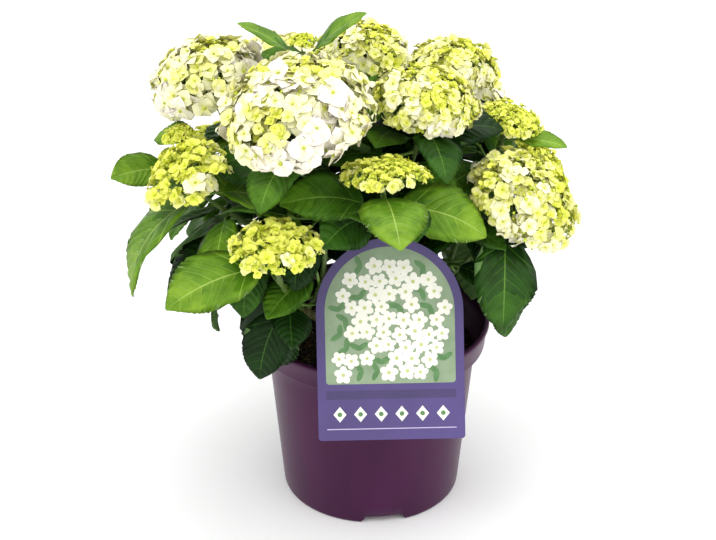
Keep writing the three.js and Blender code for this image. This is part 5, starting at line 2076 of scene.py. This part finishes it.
@dataclass
class CareLabel:
    """A card with a half-round top that leans on the rim, held by a tongue, with a plain floral print."""

    width: float = 135.0
    length: float = 186.0
    thickness: float = 1.2
    lean: float = 24.0
    turn: float = 1.2
    below_rim: float = 58.0
    offset: float = 17.0
    gap: float = 0.3
    rim_level: float = NurseryPot.height
    rim_reach: float = NurseryPot.rim_radius
    corner: float = 3.0
    tongue_width: float = 26.0
    tongue_top: float = 28.0
    tongue_drop: float = 62.0
    tongue_reach: float = 30.0
    tongue_thickness: float = 1.25  # over the card's
    ink_height: float = 0.06
    ink_sink: float = 0.1
    border: float = 8.0
    window_foot: float = -6.0  # foot of the printed window, over the rim
    blossom_step: float = 14.0
    blossom_rows: float = 0.87  # distance between rows over that between blossoms
    blossom_edge: float = 0.54  # nearest that one comes to the window's edge, over the same
    first_row: float = 10.0
    columns: int = 4  # to each side of the middle
    print_seed: int = 90
    place_stray: float = 2.0
    leafy_share: float = 0.26
    leaf_radii: tuple[float, float] = (6.2, 2.6)
    leaf_gap: float = 3.2
    leaf_bend: float = 0.5
    leaf_layers: tuple[float, float] = (2.0, 0.25)  # layer of a pair, and how far its leaves part
    petals: int = 5
    petal_layers: tuple[float, float] = (3.0, 0.5)  # layer of the first petal, and what each next one adds
    neighbour_lift: float = 0.1  # layers between neighbouring blossoms, which take five turns
    petal_reach: float = 0.52
    petal_radii: tuple[float, float] = (0.46, 0.38)
    eye_radius: float = 0.2
    eye_layer: float = 6.0
    smallest: float = 0.52
    growth: float = 0.12
    band: tuple[float, float] = (-20.0, -12.0)
    line: tuple[float, float] = (-48.0, -47.2)
    lozenges: int = 6
    lozenge_level: float = -34.0
    lozenge_radii: tuple[float, float] = (6.0, 7.2)
    lozenge_inset: float = 12.0
    dot_radius: float = 2.2
    dot_layer: float = 2.0
    dot_sides: int = 12
    near_sides: float = 4.0
    near_foot: float = 10.0
    near_back: float = 8.0

    @property
    def shoulder(self) -> float:
        """Height over the rim at which the half-round top starts."""
        return self.length - self.below_rim - self.width / 2

    def is_behind(self, points: Array, depth: float) -> bool:
        """Whether any of the points hangs in front of the card, within a depth.

        Args:
            points: (n, 3).
            depth: how far in front.

        Returns:
            True if one does.
        """
        lean = math.radians(self.lean)
        level, back = points[:, 2] - self.rim_level, points[:, 1] + self.rim_reach
        up = level * math.cos(lean) + back * math.sin(lean)
        out = level * math.sin(lean) - back * math.cos(lean)
        aside = np.abs(points[:, 0] - self.offset)
        near = (aside < self.width / 2 + self.near_sides) & (up > -self.below_rim - self.near_foot)
        near &= up < self.length - self.below_rim + self.near_sides
        near &= (out > -self.near_back) & (out < depth)
        return bool(near.any())

    def to_pot(self, points: Array) -> Array:
        """Moves points from the card's own frame, with its back at 0 and the rim at the origin, to the pot.

        They turn in the card's plane, lean back, and move to the front of the rim.

        Args:
            points: in the card's frame, with the last axis of length 3.

        Returns:
            The points in the plant's frame.
        """
        turn, tip = math.radians(self.turn), math.pi / 2 - math.radians(self.lean)
        x = points[..., 0] * math.cos(turn) - points[..., 1] * math.sin(turn)
        y = points[..., 0] * math.sin(turn) + points[..., 1] * math.cos(turn)
        z = points[..., 2]
        level = y * math.sin(tip) + z * math.cos(tip) + self.rim_level
        depth = y * math.cos(tip) - z * math.sin(tip) - self.rim_reach - self.gap
        return np.stack([x + self.offset, depth, level], axis=-1)

    @staticmethod
    def bow(x: float, y: float, radius: float, turn: Array) -> Array:
        """Points of a circle about a point, at some turns."""
        return np.stack([x + radius * np.cos(turn), y + radius * np.sin(turn)], axis=1)

    @staticmethod
    def bar(half: float, levels: tuple[float, float]) -> Array:
        """The outline of an upright rectangle: half its width, and its lower and upper level."""
        low, high = levels
        return np.array([[-half, low], [half, low], [half, high], [-half, high]])

    def arch(self, inset: float, foot: float, steps: int = 40, corner_steps: int = 5) -> Array:
        """An outline with a half-round top, set in from the card's edge, counted round the left way.

        Args:
            inset: how far it is set in.
            foot: level of its lower edge over the rim.
            steps: points of the half circle.
            corner_steps: points of a lower corner.

        Returns:
            One row of 2 for each point.
        """
        radius = self.width / 2 - inset
        middle, level = radius - self.corner, foot + self.corner
        bend = np.linspace(math.pi, 1.5 * math.pi, corner_steps)
        top = self.bow(0.0, self.shoulder, radius, np.linspace(0, math.pi, steps))
        left = self.bow(-middle, level, self.corner, bend)
        right = self.bow(middle, level, self.corner, bend + math.pi / 2)
        return np.concatenate([top, left, right])

    def prism(self, stack: MeshStack, outline: Array, low: float, high: float, inks: tuple[int, int]) -> None:
        """A flat closed shape on the card between two heights.

        Args:
            stack: the label's mesh.
            outline: points round it, the left way.
            low: height of its back over the card's back.
            high: height of its front.
            inks: finish numbers of its front and of the rest.
        """
        count = len(outline)
        rings = [np.concatenate([outline, np.full((count, 1), level)], axis=1) for level in (low, high)]
        ends = end_faces(2, count)
        front, rest = inks
        walls = lattice(2, count, wrap=True)
        stack.add(self.to_pot(np.concatenate(rings)), (walls, rest), (ends[1:], front), (ends[:1], rest))

    @staticmethod
    def disc(x: float, y: float, radii: tuple[float, float], heading: float, sides: int = 16) -> Array:
        """An ellipse about a point.

        Args:
            x: place to the right.
            y: place over the rim.
            radii: its long and its short half width.
            heading: turn of the long one.
            sides: number of points.

        Returns:
            One row of 2 for each point.
        """
        turn = round_turns(sides)
        long, short = radii[0] * np.cos(turn), radii[1] * np.sin(turn)
        cos, sin = math.cos(heading), math.sin(heading)
        return np.stack([x + long * cos - short * sin, y + long * sin + short * cos], axis=1)

    def blossom(self, x: float, y: float, size: float, heading: float, lift: float) -> list[Print]:
        """Round petals about a point, each a little over the last, with a lime middle.

        Args:
            x: place to the right.
            y: place over the rim.
            size: its half width.
            heading: turn of the first petal.
            lift: how many layers it lies over its neighbours.

        Returns:
            The prints.
        """
        made = []
        radii = (size * self.petal_radii[0], size * self.petal_radii[1])
        first, step = self.petal_layers
        for petal in range(self.petals):
            turn = heading + petal * 2 * math.pi / self.petals
            reach = size * self.petal_reach
            place = (x + reach * math.cos(turn), y + reach * math.sin(turn))
            made.append(Print(self.disc(*place, radii, turn), PETAL, first + step * petal + lift))
        radius = size * self.eye_radius
        eye = self.disc(x, y, (radius, radius), 0.0, self.dot_sides)
        made.append(Print(eye, LIME_INK, self.eye_layer))
        return made

    def leaf_pair(self, x: float, y: float, turn: float) -> list[Print]:
        """Two small leaves that part from a point.

        Args:
            x: place to the right.
            y: place over the rim.
            turn: heading of the pair.

        Returns:
            The prints.
        """
        made = []
        layer, step = self.leaf_layers
        for side in (-1, 1):
            place = (x + self.leaf_gap * math.cos(turn) * side, y + self.leaf_gap * math.sin(turn) * side)
            leaf = self.disc(*place, self.leaf_radii, turn + side * self.leaf_bend)
            made.append(Print(leaf, LEAF_INK, layer + step * side))
        return made

    def window(self) -> list[Print]:
        """The printed window: an arch of sage with blossoms and pairs of leaves in offset rows.

        Returns:
            The prints.
        """
        made = [Print(self.arch(self.border, self.window_foot), SAGE)]
        half = self.width / 2 - self.border
        step, row_step = self.blossom_step, self.blossom_step * self.blossom_rows
        rows = int((self.length - self.below_rim - self.window_foot) / row_step) + 1
        cells = [(row, column) for row in range(rows) for column in range(-self.columns, self.columns + 1)]
        for number, (row, column) in enumerate(cells, start=1):
            x = (column + 0.5 * (row % 2)) * step
            x += float(jitter(self.print_seed, number, PrintUse.ACROSS, self.place_stray))
            y = self.window_foot + self.first_row + row * step * self.blossom_rows
            y += float(jitter(self.print_seed, number, PrintUse.UP, self.place_stray))
            edge = half - abs(x) if y < self.shoulder else half - math.hypot(x, y - self.shoulder)
            if edge < step * self.blossom_edge:
                continue
            turn = float(chance(self.print_seed, number, PrintUse.TURN)) * math.pi
            if chance(self.print_seed, number, PrintUse.KIND) < self.leafy_share:
                made += self.leaf_pair(x, y, turn)
                continue
            growth = self.growth * float(chance(self.print_seed, number, PrintUse.SIZE))
            lift = self.neighbour_lift * (number % 5)
            made += self.blossom(x, y, step * (self.smallest + growth), turn, lift)
        return made

    def prints(self) -> list[Print]:
        """The print: the window, a plain band, a row of small lozenges and a thin line.

        Returns:
            The prints.
        """
        half = self.width / 2 - self.border
        made = self.window() + [Print(self.bar(half, self.band), PLUM)]
        wide, tall = self.lozenge_radii
        for place in np.linspace(-half + self.lozenge_inset, half - self.lozenge_inset, self.lozenges):
            lozenge = np.array([[0, -tall], [wide, 0], [0, tall], [-wide, 0]]) + [place, self.lozenge_level]
            radii = (self.dot_radius, self.dot_radius)
            dot = self.disc(place, self.lozenge_level, radii, 0.0, self.dot_sides)
            made += [Print(lozenge, PETAL), Print(dot, LEAF_INK, self.dot_layer)]
        return made + [Print(self.bar(half, self.line), LILAC)]

    def build(self) -> None:
        """Makes the card, its print and its tongue."""
        stack = MeshStack()
        self.prism(stack, self.arch(0.0, -self.below_rim), 0.0, self.thickness, (VIOLET, EDGE))
        for shape in self.prints():
            top = self.thickness + self.ink_height * shape.layer
            self.prism(stack, shape.outline, self.thickness - self.ink_sink, top, (shape.ink, shape.ink))
        self.add_tongue(stack)
        settle(stack.build("label", INKS, smooth=False), ["care_label"])

    def add_tongue(self, stack: MeshStack) -> None:
        """The tongue: a slab from the back of the card above the rim down into the mix.

        Args:
            stack: the label's mesh.
        """
        lean = math.radians(self.lean)
        slab = self.tongue_thickness * self.thickness
        low, high = self.tongue_top, self.tongue_top + 1.5 * slab

        def inside(level: float) -> float:
            """Depth of the middle of the card at a level over the rim."""
            return level * math.tan(lean) - self.thickness / (2 * math.cos(lean))

        depths = np.array([inside(low), self.tongue_reach, self.tongue_reach + slab, inside(high)])
        levels = np.array([low, -self.tongue_drop, -self.tongue_drop, high])
        half = self.tongue_width / 2
        sides = [
            np.stack([np.full(4, x), depths - self.rim_reach - self.gap, levels + self.rim_level], axis=1)
            for x in (self.offset - half, self.offset + half)
        ]
        stack.add_solid((np.concatenate(sides), lattice(2, 4, wrap=True), end_faces(2, 4)), VIOLET)


LABEL = CareLabel()


# --------------------------------------------------------------------------------------- the studio


@dataclass(frozen=True)
class Lamp:
    """A square soft light: where it hangs and its side, in metres, and its power in watts."""

    name: str
    place: tuple[float, float, float]
    size: float
    power: float

    def build(self, aim: tuple[float, float, float]) -> None:
        """Makes the light and turns it to a point.

        Args:
            aim: the point that it faces, in metres.
        """
        lamp = bpy.data.lights.new(self.name, "AREA")
        lamp.size = self.size
        lamp.energy = self.power
        holder = bpy.data.objects.new(self.name, lamp)
        out = unit(np.array(self.place) - aim)
        heading, rise = math.atan2(out[1], out[0]), math.asin(out[2])
        holder.rotation_euler = (math.pi / 2 - rise, 0, heading + math.pi / 2)
        holder.location = self.place
        bpy.context.scene.collection.objects.link(holder)


@dataclass
class Studio:
    """A plain pale floor, soft light from all sides, and the camera."""

    floor_reach: float = 6000.0
    floor_level: float = -0.4
    world_light: float = 1.12
    lamps: tuple[Lamp, ...] = (
        Lamp("key", (-0.9, -1.3, 2.1), 0.9, 13.0),
        Lamp("fill", (1.3, -1.0, 1.2), 1.2, 7.0),
        Lamp("top", (0.2, 0.9, 2.2), 1.6, 13.0),
    )
    aim: tuple[float, float, float] = (0.0, 0.0, 0.28)
    camera_place: tuple[float, float, float] = (-0.0132, -1.5, 1.042)
    camera_pitch: float = 61.7
    focal_length: float = 89.0
    sensor_width: float = 36.0
    floor_finish: Finish = Finish("floor_white", 0xF7F7F7, 0xF9F9F9, mottle=400.0, roughness=0.8, bump=0.0)

    def build(self) -> None:
        """Makes the floor, the lights and the camera."""
        half, level = self.floor_reach, self.floor_level
        corners = [[-half, -half, level], [half, -half, level], [half, half, level], [-half, half, level]]
        stack = MeshStack()
        stack.add(np.array(corners), (np.array([[0, 1, 2, 3]]), 0))
        floor = stack.build("floor", [self.floor_finish])
        world = bpy.data.worlds.new("studio")
        bpy.context.scene.world = world
        world.use_nodes = True
        sky = world.node_tree.nodes["Background"]
        sky.inputs["Color"].default_value = (1, 1, 1, 1)
        sky.inputs["Strength"].default_value = self.world_light
        for lamp in self.lamps:
            lamp.build(self.aim)
        self.add_camera()

    def add_camera(self) -> None:
        """Makes the camera, which looks down at the front of the plant, and sets plain display colours."""
        scene = bpy.context.scene
        camera = bpy.data.cameras.new("camera")
        camera.lens = self.focal_length
        camera.sensor_width = self.sensor_width
        holder = bpy.data.objects.new("camera", camera)
        holder.location = self.camera_place
        holder.rotation_euler = (math.radians(self.camera_pitch), 0, 0)
        scene.collection.objects.link(holder)
        scene.camera = holder
        scene.view_settings.view_transform = "Standard"


# --------------------------------------------------------------------------------------------- main


def main() -> None:
    """Builds the studio, the pot, the mix, the label, the wood, the leaves and the blossom, in this order."""
    logging.basicConfig(level=logging.INFO, format="%(name)s: %(message)s")
    Studio().build()
    pot = NurseryPot()
    pot.build()
    PottingMix().build(pot)
    LABEL.build()
    Woodwork().build()
    foliage = Foliage()
    leaves, twigs = foliage.grow()
    foliage.build(leaves)
    florets = Florets()
    heads = []
    for stage in (Stage.FULL, Stage.CREAM, Stage.LIME, Stage.BUD):
        heads += florets.build(stage)
    Stems().build(leaves, twigs, heads)


if __name__ == "__main__":
    main()
